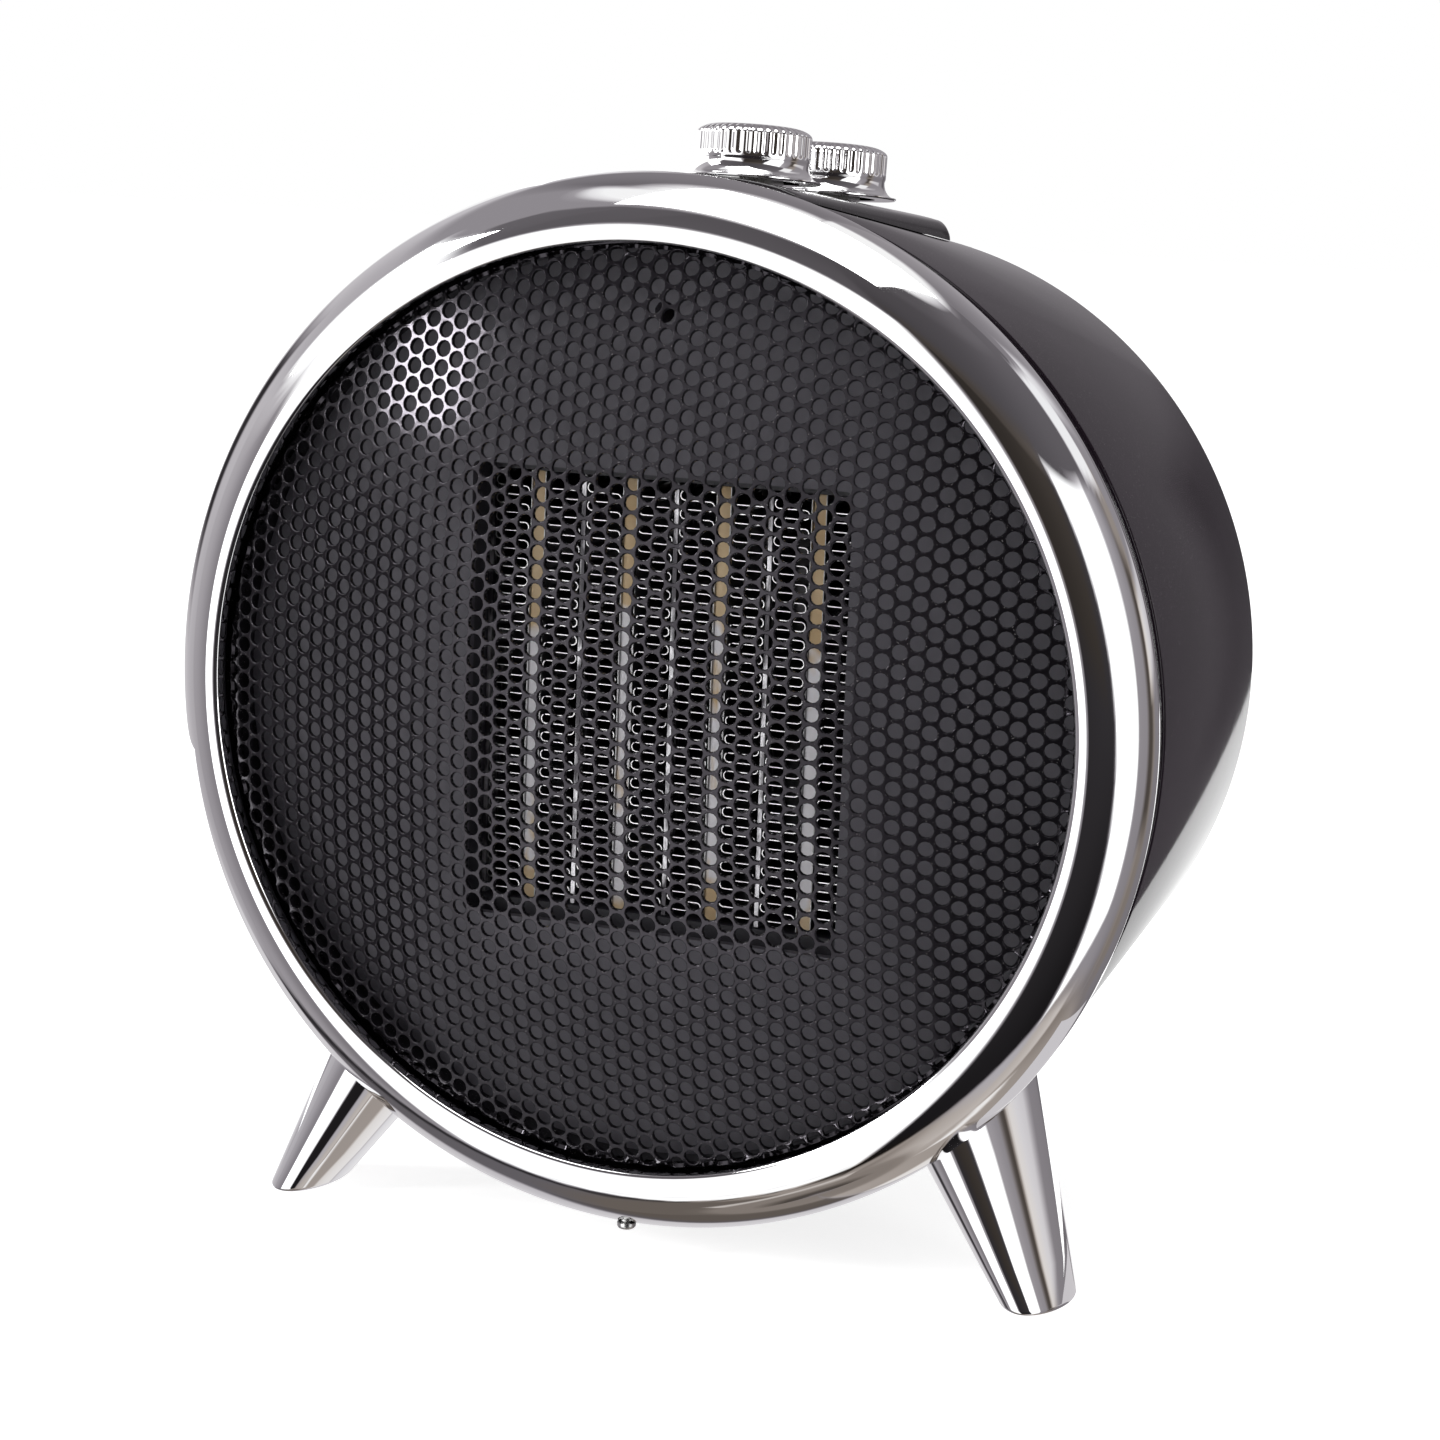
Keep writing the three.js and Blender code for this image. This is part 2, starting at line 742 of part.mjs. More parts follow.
function makeShroud() {
  const plate = roundedRectangle(ductOuterHalfWidth + ductFlangeWidth, ductOuterHalfHeight, ductWall);
  plate.holes.push(roundShape(shroudBoreRadius));
  const plateEndY = shroudPlateY + shroudPlateThickness;
  const collar = turned([
    [shroudBoreRadius, shroudPlateY],
    [shroudOuterRadius, shroudPlateY],
    [shroudOuterRadius, shroudCollarEndY],
    [shroudBoreRadius, shroudCollarEndY],
  ]);
  const ears = rodsAt(shroudEarPlaces(), shroudEarRadius, shroudPlateY + fit, shroudCollarEndY);
  const bore = turned([
    [0, shroudPlateY - overrun],
    [shroudBoreRadius, shroudPlateY - overrun],
    [shroudBoreRadius, shroudCollarEndY + overrun],
    [0, shroudCollarEndY + overrun],
  ]);
  const earHoles = screwHolesAt(shroudEarPlaces(), plateEndY + overrun, shroudCollarEndY + overrun);
  const cornerHoles = screwHolesAt(ductScrewPlaces(), shroudPlateY - overrun, plateEndY + overrun);
  const body = joined([slab(plate, shroudPlateY, plateEndY), collar, ...ears]);
  return cut(body, [bore, ...earHoles, ...cornerHoles]);
}

// Motor, its bracket and the fan

function motorScrewPlaces() {
  return aroundAxis(motorScrewCircle, 2, Math.PI / 2);
}

function makeMotorBracket() {
  const endY = bracketY + bracketThickness;
  const hub = rod(bracketHubRadius, [0, bracketY, 0], [0, endY, 0], midAroundCount);
  const arms = shroudEarPlaces().map(([x, z]) => {
    const length = shroudEarCircle + shroudEarRadius;
    const arm = new THREE.BoxGeometry(bracketArmWidth, bracketThickness, length);
    arm.translate(0, bracketY + bracketThickness / 2, length / 2);
    return solidFrom(arm.rotateY(Math.atan2(x, z)));
  });
  const [holeStart, holeEnd] = [bracketY - overrun, endY + overrun];
  const noseHole = rod(motorNoseRadius + fit, [0, holeStart, 0], [0, holeEnd, 0], midAroundCount);
  const holes = screwHolesAt([...shroudEarPlaces(), ...motorScrewPlaces()], holeStart, holeEnd);
  return cut(joined([hub, ...arms]), [noseHole, ...holes]);
}

function makeMotor() {
  const capEndY = motorRearY + motorCapLength;
  const body = turned([
    [0, bracketY],
    [motorNoseRadius, bracketY],
    [motorNoseRadius, motorFrontY],
    [motorRadius - fit, motorFrontY],
    [motorRadius, motorFrontY + motorCapLength / 2],
    [motorRadius, motorRearY - motorCapLength / 2],
    [motorRadius - fit, motorRearY],
    [motorCapRadius, motorRearY],
    [motorCapRadius, capEndY],
    [0, capEndY],
  ], midAroundCount);
  const bore = rod(shaftRadius + fit, [0, bracketY - overrun, 0], [0, capEndY + overrun, 0]);
  const holeEnd = motorFrontY + shortScrewLength;
  const screwHoles = screwHolesAt(motorScrewPlaces(), motorFrontY - overrun, holeEnd);
  return cut(body, [bore, ...screwHoles]);
}

function makeShaft() {
  return rod(shaftRadius, [0, shaftFrontY, 0], [0, shaftRearY, 0]);
}

function makeFanBlade(turn) {
  const rootRadius = fanHubRadius - fanHubWall / 2;
  const length = fanTipRadius - rootRadius;
  const blade = new THREE.BoxGeometry(fanBladeChord, fanBladeSheet, length, 1, 1, fanBladeSteps);
  const corners = blade.attributes.position;
  for (let index = 0; index < corners.count; index++) {
    const share = corners.getZ(index) / length + 1 / 2;
    const pitch = THREE.MathUtils.lerp(fanRootPitch, fanTipPitch, share);
    const chordSpot = corners.getX(index);
    const sheetSpot = corners.getY(index);
    corners.setX(index, chordSpot * Math.cos(pitch) - sheetSpot * Math.sin(pitch));
    corners.setY(index, chordSpot * Math.sin(pitch) + sheetSpot * Math.cos(pitch));
  }
  blade.translate(0, fanFrontY + fanHubLength / 2, rootRadius + length / 2);
  return solidFrom(blade.rotateY(turn));
}

function makeFan() {
  const hubEndY = fanFrontY + fanHubLength;
  const hub = turned([
    [0, fanFrontY],
    [fanHubRadius - fanHubWall, fanFrontY],
    [fanHubRadius, fanFrontY + fanHubWall],
    [fanHubRadius, hubEndY],
    [0, hubEndY],
  ], midAroundCount);
  const blades = [];
  for (let index = 0; index < fanBladeCount; index++) {
    blades.push(makeFanBlade(2 * Math.PI * index / fanBladeCount));
  }
  const bore = rod(shaftRadius + fit, [0, fanFrontY - overrun, 0], [0, hubEndY + overrun, 0]);
  return cut(joined([hub, ...blades]), [bore]);
}

// Drum body and rear cover

function coverScrewPlaces() {
  return aroundAxis(coverScrewCircle, coverScrewCount, Math.PI / coverScrewCount);
}

function edgeArc(radius) {
  const centre = drumRearRadius - drumEdgeRound;
  return Array.from({ length: cornerSteps + 1 }, (_, step) => {
    const turn = (Math.PI / 2) * step / cornerSteps;
    return [centre + radius * Math.cos(turn), drumConeEndY + radius * Math.sin(turn)];
  });
}

// Where a leg's axis meets the drum, as a turn about the drum's axis.
function legScrewTurn(side) {
  const share = (footDrop - legScrewDrop) / (footDrop - legTopDrop);
  const across = THREE.MathUtils.lerp(frontFoot.x, frontLegTop.x, share);
  return Math.atan2(side * across, -legScrewDrop);
}

function legScrewPlaces() {
  return [
    { y: frontLegScrewY, turn: legScrewTurn(-1) },
    { y: frontLegScrewY, turn: legScrewTurn(1) },
    { y: rearLegScrewY, turn: Math.PI },
  ];
}

function radialPoint(turn, y, radius) {
  return [radius * Math.sin(turn), y, radius * Math.cos(turn)];
}

// The head's underside clears the drum's sloping wall and the middles of its flats.
function legScrewSeat(y) {
  return drumInnerFlat(y + screwHeadRadius) - fit;
}

function makeLegScrew({ y, turn }) {
  return screw(radialPoint(turn, y, legScrewSeat(y)), radialPoint(turn, 0, 1), legScrewLength);
}

function legScrewHoles() {
  return legScrewPlaces().map(({ y, turn }) => {
    const seat = legScrewSeat(y);
    const start = radialPoint(turn, y, seat - overrun);
    return screwHole(start, radialPoint(turn, y, seat + legScrewLength + fit));
  });
}

function controlFrame(y) {
  const tilted = new THREE.Matrix4().makeRotationX(Math.PI / 2 - controlTilt);
  return tilted.setPosition(0, y, padTopRadius(y));
}

function controlHole(y) {
  return cylinderIn(controlFrame(y), bushRadius + fit, -knobHeight, knobHeight);
}

// A post for a front plate screw, held off the drum's wall by a rib behind the plate's rim.
function makeDrumPost([x, z], frontY) {
  const endY = frontY + drumPostLength;
  const post = rod(drumPostRadius, [x, frontY, z], [x, endY, z]);
  const ribY = plateRimEndY + fit;
  const ribLength = endY - ribY;
  const reach = drumFrontRadius - plateScrewCircle;
  const rib = new THREE.BoxGeometry(drumRibWidth, ribLength, reach);
  rib.translate(0, ribY + ribLength / 2, plateScrewCircle + reach / 2);
  const insideWall = turned([
    [0, ribY],
    [drumInnerRadius(ribY) + drumWall / 2, ribY],
    [drumInnerRadius(endY) + drumWall / 2, endY],
    [0, endY],
  ]);
  return post.add(solidFrom(rib.rotateY(Math.atan2(x, z))).intersect(insideWall));
}

function makeDrum() {
  const wallY = drumRearY - drumWall;
  const ledgeRadius = coverRadius - coverLedge;
  const shell = turned([
    [drumFrontRadius, drumFrontY],
    ...edgeArc(drumEdgeRound),
    [coverRadius + fit, drumRearY],
    [coverRadius + fit, coverSeatY],
    [ledgeRadius, coverSeatY],
    [ledgeRadius, coverSeatY - drumWall],
    [coverRadius + fit + drumWall, coverSeatY - drumWall],
    [coverRadius + fit + drumWall, wallY],
    ...edgeArc(drumEdgeRound - drumWall).reverse(),
    [drumFrontRadius - drumWall, drumFrontY],
  ]);
  const postFrontY = plateBackY + plateSocketDepth + fit;
  const places = plateScrewPlaces();
  const posts = places.map((place) => makeDrumPost(place, postFrontY));
  const postHoles = screwHolesAt(places, postFrontY - overrun, postFrontY + screwLength);
  const bossY = coverSeatY - coverBossLength;
  const bosses = rodsAt(coverScrewPlaces(), coverBossRadius, bossY, coverSeatY - drumWall / 2);
  const bossHoles = screwHolesAt(coverScrewPlaces(), bossY - overrun, drumRearY);
  const glandHoleStart = [0, wallY - overrun, -glandCircle];
  const glandHole = rod(glandRadius + fit, glandHoleStart, [0, drumRearY + overrun, -glandCircle]);
  const controlHoles = knobPlaces.map(controlHole);
  const cutters = [...postHoles, ...bossHoles, glandHole, ...controlHoles, ...legScrewHoles()];
  return cut(joined([shell, ...posts, ...bosses]), cutters);
}

function coverSlots() {
  const reach = coverRadius - slotRimInset;
  const rowCount = Math.floor(reach / slotPitch);
  const slots = [];
  for (let row = -rowCount; row <= rowCount; row++) {
    const middle = row * slotPitch;
    const farZ = Math.abs(middle) + slotHeight / 2;
    const end = Math.sqrt(Math.max(reach ** 2 - farZ ** 2, 0));
    if (end < slotPitch) continue;
    for (const side of [1, -1]) {
      const xRange = side > 0 ? [slotWeb / 2, end] : [-end, -slotWeb / 2];
      const yRange = [coverSeatY - overrun, drumRearY + overrun];
      slots.push(block(xRange, yRange, [middle - slotHeight / 2, middle + slotHeight / 2]));
    }
  }
  return slots;
}

function makeRearCover() {
  const disc = slab(roundShape(coverRadius), drumRearY - coverThickness, drumRearY);
  const holes = screwHolesAt(coverScrewPlaces(), coverSeatY - overrun, drumRearY + overrun);
  return cut(disc, [...coverSlots(), ...holes]);
}

function makeCoverScrew([x, z]) {
  return screw([x, drumRearY + fit, z], [0, -1, 0], coverBossLength);
}

function makeCordGland() {
  const wallY = drumRearY - glandLength + glandFlangeThickness;
  const frame = new THREE.Matrix4().setPosition(0, 0, -glandCircle);
  return turnedIn(frame, [
    [glandBoreRadius, wallY],
    [glandRadius, wallY],
    [glandRadius, drumRearY + fit],
    [glandFlangeRadius, drumRearY + fit],
    [glandFlangeRadius, drumRearY + fit + glandFlangeThickness],
    [glandBoreRadius, drumRearY + fit + glandFlangeThickness],
  ], midAroundCount);
}

function makeTerminalBlock() {
  const endY = terminalFrontY + terminalDepth;
  const floor = Math.sqrt(drumInnerFlat(endY) ** 2 - (terminalWidth / 2) ** 2) - fit;
  return block(
    [-terminalWidth / 2, terminalWidth / 2],
    [terminalFrontY, endY],
    [-floor, terminalHeight - floor],
  );
}

// Control pad

function padPlan() {
  const shape = new THREE.Shape();
  shape.moveTo(-padHalfWidth, drumFrontY);
  shape.lineTo(padHalfWidth, drumFrontY);
  const cornerX = padHalfWidth - padCorner;
  const cornerY = padRearY - padCorner;
  shape.absarc(cornerX, cornerY, padCorner, 0, Math.PI / 2, false);
  shape.absarc(-cornerX, cornerY, padCorner, Math.PI / 2, Math.PI, false);
  shape.closePath();
  return shape;
}

function makeControlPad() {
  const layer = turned([
    [drumOuterRadius(drumFrontY) + fit, drumFrontY],
    [padTopRadius(drumFrontY), drumFrontY],
    [padTopRadius(padRearY), padRearY],
    [drumOuterRadius(padRearY) + fit, padRearY],
  ]);
  const pad = layer.intersect(prism(padPlan(), drumRearRadius / 2, ringRadius + overrun));
  return cut(pad, knobPlaces.map(controlHole));
}

// Knobs, spindles, nuts and the controls under the pad

// The knob's low domed shoulder, from the rim of its flat top down to the straight flutes.
function knobShoulder(radius) {
  const points = [];
  for (let step = 0; step <= knobShoulderSteps; step++) {
    const turn = Math.PI / 2 * step / knobShoulderSteps;
    const inset = knobShoulderWidth * (1 - Math.sin(turn));
    points.push([radius - inset, knobHeight - knobShoulderHeight * (1 - Math.cos(turn))]);
  }
  return points;
}

function knobFlutes(frame, base) {
  const outline = [];
  for (let index = 0; index < 2 * knobFluteCount; index++) {
    const turn = Math.PI * index / knobFluteCount;
    const radius = index % 2 === 0 ? knobRadius : knobRadius - knobFluteDepth;
    outline.push(new THREE.Vector2(radius * Math.cos(turn), radius * Math.sin(turn)));
  }
  const depth = knobHeight - base;
  const flutes = new THREE.ExtrudeGeometry(new THREE.Shape(outline), { depth, bevelEnabled: false });
  flutes.rotateX(-Math.PI / 2);
  flutes.translate(0, base, 0);
  return solidFrom(flutes.applyMatrix4(frame));
}

function makeKnob(y) {
  const frame = controlFrame(y);
  const base = knobLift;
  const top = knobHeight;
  const flatRadius = knobRadius - knobShoulderWidth;
  const topFace = [
    [0, top - knobDish],
    [flatRadius - knobWall, top - knobDish],
    [flatRadius - knobWall / 2, top],
  ];
  const head = turnedIn(frame, [
    ...topFace,
    ...knobShoulder(knobRadius),
    [knobRadius, base + knobNeckHeight],
    [0, base + knobNeckHeight],
  ], knobSides);
  const skirtTop = base + knobNeckHeight + knobDish;
  const skirt = turnedIn(frame, [
    [0, skirtTop],
    [knobNeckRadius - knobFluteDepth, skirtTop],
    [knobNeckRadius - knobFluteDepth, base + knobNeckHeight],
    [knobNeckRadius + knobFluteDepth, base + knobNeckHeight / 2],
    [knobSkirtRadius - fit, base + knobSkirtLip],
    [knobSkirtRadius, base],
    [0, base],
  ], knobSides);
  const roof = top - knobRoof;
  const cavity = turnedIn(frame, [
    [knobHubRadius, base - overrun],
    [knobNeckRadius - knobWall, base - overrun],
    [knobNeckRadius - knobWall, roof],
    [knobHubRadius, roof],
  ], midAroundCount);
  const hubEnd = bushRise + runningGap;
  const hubRelief = cylinderIn(frame, knobHubRadius + fit, base - overrun, hubEnd, midAroundCount);
  const bore = cylinderIn(frame, bushBoreRadius, base - overrun, hubEnd + spindleGrip);
  const mark = new THREE.BoxGeometry(knobMarkWidth, 2 * knobMarkDepth, knobMarkLength);
  mark.translate(0, top - knobDish, flatRadius - knobWall - knobMarkLength / 2);
  const body = skirt.add(head.intersect(knobFlutes(frame, base + knobNeckHeight)));
  return cut(body, [cavity, hubRelief, bore, solidFrom(mark.applyMatrix4(frame))]);
}

function controlSeat(y) {
  const rearY = y + controlHalfLength;
  const rearHeight = Math.sqrt(drumInnerFlat(rearY) ** 2 - controlHalfWidth ** 2);
  return rearHeight + controlHalfLength * Math.tan(controlTilt) - padTopRadius(y) - fit;
}

function makeSpindle(y) {
  const top = bushRise + runningGap + spindleGrip - fit;
  return cylinderIn(controlFrame(y), spindleRadius, controlSeat(y) - spindleTail, top);
}

function makeControlBody(y, isRound) {
  const frame = controlFrame(y);
  const seat = controlSeat(y);
  const floor = seat - controlHeight;
  const caseBlock = new THREE.BoxGeometry(2 * controlHalfWidth, controlHeight, 2 * controlHalfLength);
  caseBlock.translate(0, seat - controlHeight / 2, 0);
  const roundCase = cylinderIn(frame, controlHalfWidth, floor, seat, midAroundCount);
  const body = isRound ? roundCase : solidFrom(caseBlock.applyMatrix4(frame));
  const bush = cylinderIn(frame, bushRadius, seat - runningGap, bushRise);
  const bore = cylinderIn(frame, bushBoreRadius, seat - spindleTail - fit, knobHeight);
  return cut(body.add(bush), [bore]);
}

function makeNut(y) {
  const body = cylinderIn(controlFrame(y), nutRadius, fit, fit + nutHeight, nutSides);
  return cut(body, [controlHole(y)]);
}

// Legs

function legRing(section, z) {
  return Array.from({ length: legCount }, (_, index) => {
    const turn = 2 * Math.PI * index / legCount;
    const x = section.x + section.halfX * Math.cos(turn);
    const y = section.y + section.halfY * Math.sin(turn);
    return [x, y, z];
  });
}

function makeLeg(foot, top, side) {
  const rings = [legRing(foot, -footDrop), legRing(top, -legTopDrop)];
  const middles = [[foot.x, foot.y, -footDrop], [top.x, top.y, -legTopDrop]];
  const positions = [...rings[0], ...rings[1], ...middles];
  const index = [];
  for (let here = 0; here < legCount; here++) {
    const next = (here + 1) % legCount;
    index.push(here, next, next + legCount, here, next + legCount, here + legCount);
    index.push(next, here, 2 * legCount);
    index.push(here + legCount, next + legCount, 2 * legCount + 1);
  }
  const geometry = new THREE.BufferGeometry();
  const corners = positions.flatMap(([x, y, z]) => [side * x, y, z]);
  geometry.setAttribute("position", new THREE.Float32BufferAttribute(corners, 3));
  geometry.setIndex(index);
  const envelope = turned([
    [0, -ringCrestDepth],
    [ringRadius + fit, -ringCrestDepth],
    [ringRadius + fit, 0],
    [ringRadius - ringSkirtDraft + fit, ringSkirtLength],
    [drumFrontRadius + fit, drumFrontY],
    [drumRearRadius + fit, drumConeEndY],
    [0, drumConeEndY],
  ]);
  return cut(solidFrom(geometry), [envelope, ...legScrewHoles()]);
}

// The heater

const heater = new THREE.Group();

function addPiece(name, solid, material) {
  const mesh = solid.getMesh();
  const geometry = new THREE.BufferGeometry();
  geometry.setAttribute("position", new THREE.BufferAttribute(mesh.vertProperties, 3));
  geometry.setIndex(new THREE.BufferAttribute(mesh.triVerts, 1));
  geometry.computeVertexNormals();
  const piece = new THREE.Mesh(geometry, material);
  piece.name = name;
  heater.add(piece);
}

addPiece("front_ring", makeFrontRing(), chrome());
addPiece("ring_screw", makeRingScrew(), steel());
addPiece("grille", makeGrille(), glossBlack());
addPiece("front_plate", makeFrontPlate(), darkPlastic());
plateScrewPlaces().forEach((place, index) => {
  addPiece(`plate_screw_${index + 1}`, makePlateScrew(place), steel());
});
for (let index = 0; index < stripCount; index++) {
  addPiece(`ceramic_strip_${index + 1}`, makeStrip(index), ceramic());
}
for (let index = 0; index <= stripCount; index++) {
  addPiece(`element_plate_${index + 1}`, makeElementPlate(index), aluminium());
}
for (let index = 0; index < 2 * stripCount; index++) {
  addPiece(`fin_column_${index + 1}`, makeFinColumn(index), aluminium());
}
addPiece("upper_insulator", makeInsulator(1), darkPlastic());
addPiece("lower_insulator", makeInsulator(-1), darkPlastic());
addPiece("terminal_tab_left", tabBlock(-1, 0), steel());
addPiece("terminal_tab_right", tabBlock(1, 0), steel());
addPiece("air_duct", makeDuct(), darkPlastic());
addPiece("thermal_cutout", makeThermalCutout(), brownPlastic());
addPiece("fan_shroud", makeShroud(), darkPlastic());
addPiece("motor_bracket", makeMotorBracket(), steel());
addPiece("motor", makeMotor(), steel());
addPiece("motor_shaft", makeShaft(), steel());
addPiece("fan", makeFan(), palePlastic());
addPiece("drum_body", makeDrum(), glossBlack());
addPiece("rear_cover", makeRearCover(), glossBlack());
coverScrewPlaces().forEach((place, index) => {
  addPiece(`cover_screw_${index + 1}`, makeCoverScrew(place), steel());
});
addPiece("cord_gland", makeCordGland(), darkPlastic());
addPiece("terminal_block", makeTerminalBlock(), palePlastic());
addPiece("control_pad", makeControlPad(), glossBlack());
const controls = [["thermostat", false], ["mode_switch", true]];
controls.forEach(([name, isRound], index) => {
  const y = knobPlaces[index];
  addPiece(`${name}_knob`, makeKnob(y), chrome());
  addPiece(`${name}_spindle`, makeSpindle(y), steel());
  addPiece(`${name}_nut`, makeNut(y), steel());
  addPiece(`${name}_body`, makeControlBody(y, isRound), brownPlastic());
});
addPiece("front_leg_left", makeLeg(frontFoot, frontLegTop, -1), chrome());
addPiece("front_leg_right", makeLeg(frontFoot, frontLegTop, 1), chrome());
addPiece("rear_leg", makeLeg(rearFoot, rearLegTop, 1), chrome());
legScrewPlaces().forEach((place, index) => {
  addPiece(`leg_screw_${index + 1}`, makeLegScrew(place), steel());
});

// The origin is on the floor, under the middle of the heater's width and depth.
const rearmostY = drumRearY + fit + glandFlangeThickness;
heater.position.set(0, -(domeCrestY + rearmostY) / 2, footDrop);

export default heater;
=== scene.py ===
"""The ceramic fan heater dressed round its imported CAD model.

Sizes are in millimetres in the heater's own frame, in which the drum's axis is the Y axis,
Y runs from the front to the back and zero is the widest circle of the front ring.
set_in() turns a finished mesh into metres in the frame of the CAD.
"""
import math

import bmesh
import bpy
from mathutils import Matrix, Vector


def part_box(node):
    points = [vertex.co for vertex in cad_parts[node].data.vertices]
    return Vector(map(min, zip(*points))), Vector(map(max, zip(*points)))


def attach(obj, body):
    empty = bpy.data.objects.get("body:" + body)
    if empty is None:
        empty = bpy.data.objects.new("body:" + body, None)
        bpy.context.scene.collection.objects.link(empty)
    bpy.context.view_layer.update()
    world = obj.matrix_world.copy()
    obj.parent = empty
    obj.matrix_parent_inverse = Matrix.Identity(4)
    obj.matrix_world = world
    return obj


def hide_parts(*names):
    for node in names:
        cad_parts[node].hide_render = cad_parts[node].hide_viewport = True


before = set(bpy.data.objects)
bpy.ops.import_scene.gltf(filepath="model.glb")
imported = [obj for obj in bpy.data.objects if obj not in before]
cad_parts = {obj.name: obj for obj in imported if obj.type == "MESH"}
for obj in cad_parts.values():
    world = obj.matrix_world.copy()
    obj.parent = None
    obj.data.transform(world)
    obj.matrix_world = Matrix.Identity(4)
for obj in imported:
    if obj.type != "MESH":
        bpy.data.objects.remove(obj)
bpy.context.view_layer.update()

# General sizes
fit = 0.3
overrun = 2
metre_share = 0.001
around_count = 256
rim_around_count = 192
mid_around_count = 96
small_around_count = 24
sharp_angle = math.radians(38)
soft_middle_share = 0.3
weld_distance = 0.004
least_radius = 0.001

# Front ring
ring_radius = 120
ring_bulge = 12.5
ring_lip_width = 2.6
ring_crest_depth = 12.5
ring_lip_drop = 1.1
ring_lip_length = 2.5
ring_skirt_length = 10
ring_skirt_draft = 2.4
ring_wall = 1.8
ring_round_power = 1.25
ring_outer_steps = 40
ring_inner_steps = 16
ring_lip_steps = 8
ring_screw_y = -2.7
ring_screw_length = 9

# Grille
grille_gap = 0.6
grille_dome_radius = 350
grille_edge_y = -8.05
grille_sheet = 1
grille_hole_pitch = 4.25
grille_hole_radius = 1.74
grille_hole_sides = 12
grille_edge_width = 0.22
grille_edge_depth = 0.22
grille_bend_radius = 1.5
grille_flange_width = 6
grille_perforated_y = -4
grille_sharp_angle = math.radians(80)

# Front plate
plate_front_y = 2
plate_thickness = 2.5
plate_screw_inset = 14.5
plate_screw_count = 1
plate_socket_depth = 9.5
plate_socket_floor = 2

# Heating element
element_front_y = 12
element_depth = 16
half_cell = 11.6
element_half_height = 50
strip_count = 4
strip_width = 3.8
strip_core_width = 2.9
strip_core_inset = 0.5
strip_edge_round = 0.15
strip_round_share = 0.9
strip_round_steps = 3
strip_seam = 0.12
element_plate_width = 1
insulator_height = 5.6
fin_pitch = 2.1
fin_sheet = 0.2
fin_turn_steps = 5
# In metres, in the frame of the CAD
silver_wander = 0.05
silver_top_range = (0.146, 0.141)
silver_low_range = (0.083, 0.088)
# Depth behind the fins' front edge at which their painted shade is full
fin_painted_shade_depth = 0.0006

# Air duct, fan shroud, motor and fan
duct_wall = 1.6
duct_rear_y = 34
duct_flange_width = 8.4
duct_flange_thickness = 2
duct_flange_y = 9.3
shroud_plate_thickness = 2
shroud_bore_inset = 0.7
shroud_collar_end_y = 56
shroud_ear_radius = 3.6
shroud_ear_offset = 5
bracket_thickness = 2
bracket_arm_count = 3
motor_radius = 19
motor_length = 32
motor_nose_radius = 6
motor_cap_radius = 9
motor_cap_length = 4
motor_screw_circle = 11
motor_edge_round = 1.5
motor_vent_radius = 1.6
motor_vent_depth = 1.2
motor_vent_count = 8
shaft_radius = 2.5
fan_tip_gap = 2
fan_hub_radius = 12
fan_front_y = 41
fan_hub_length = 13
fan_hub_wall = 2
fan_blade_count = 7
fan_blade_chord = 18
fan_blade_sheet = 1.6
fan_root_pitch = math.radians(48)
fan_tip_pitch = math.radians(30)
fan_blade_steps = 10
fan_chord_steps = 6
fan_camber = 1.1
fan_tip_share = 0.86
fan_edge_share = 0.7

# Screws
screw_radius = 1.4
screw_head_radius = 2.2
screw_head_height = 1.5
screw_length = 16
short_screw_length = 6
bracket_screw_length = 10
shroud_screw_spare = 1
screw_recess_width = 0.55
screw_recess_length = 2.4
screw_recess_depth = 0.8
screw_flat_share = 0.55
screw_side_share = 0.35
screw_dome_steps = 6
thread_count = 6
thread_share = 0.9
thread_core_share = 0.8
thread_root_share = 0.01
thread_crest_share = 0.07

# Drum body and rear cover
groove_width = 2.5
drum_taper = 14.6
drum_rear_y = 136
drum_edge_round = 8
drum_wall = 2
drum_edge_steps = 14
drum_lip_round = 0.5
drum_post_radius = 4.5
drum_post_length = 16.5
cover_inset = 33
cover_thickness = 2
cover_ledge = 8
cover_screw_inset = 4
cover_screw_count = 4
cover_boss_radius = 3.4
cover_boss_length = 9
cover_edge_round = 0.4
slot_height = 3.6
slot_pitch = 8
slot_web = 5
slot_rim_inset = 12
gland_radius = 6
gland_flange_radius = 8
gland_flange_thickness = 2
gland_bore_radius = 3.6
gland_length = 12
gland_edge_round = 0.6

# Control pad
pad_half_width = 26
pad_rear_inset = 18
pad_front_rise = 1.8
pad_rear_rise = 4.4
pad_corner = 8
pad_side_round = 2.6
pad_rear_round = 6
pad_front_round = 0.6
pad_corner_steps = 8
pad_side_steps = 24
pad_front_steps = 12
pad_inset_step = 2
pad_core_half_width = 0.01
pad_insets = (0, 0.04, 0.12, 0.25, 0.42, 0.65, 0.95, 1.35, 1.8)

# Knobs
knob_places = {"thermostat": 48, "mode_switch": 96}
knob_height = 13.55
knob_radius = 13.35
knob_skirt_radius = 16.2
knob_skirt_lip = 0.5
knob_neck_height = 4.3
knob_neck_radius = 13.1
knob_flute_count = 42
knob_flute_width = 1.6
knob_flute_depth = 0.3
knob_flute_start = 6.3
knob_flute_steps = 8
knob_shoulder_width = 5.2
knob_shoulder_height = 2.2
knob_skirt_steps = 10
knob_side_steps = 22
knob_shoulder_steps = 12
knob_dish = 0.6
knob_wall = 2
knob_roof = 3
knob_hub_radius = 5.2
knob_lift = 1
knob_mark_width = 1.4
knob_mark_length = 5.5
knob_mark_depth = 0.6
knob_mark_steps = 4
knob_top_shares = (0.6, 0.3, 0)
spindle_radius = 3
bush_rise = 3.6
bush_radius = 5
running_gap = 0.6

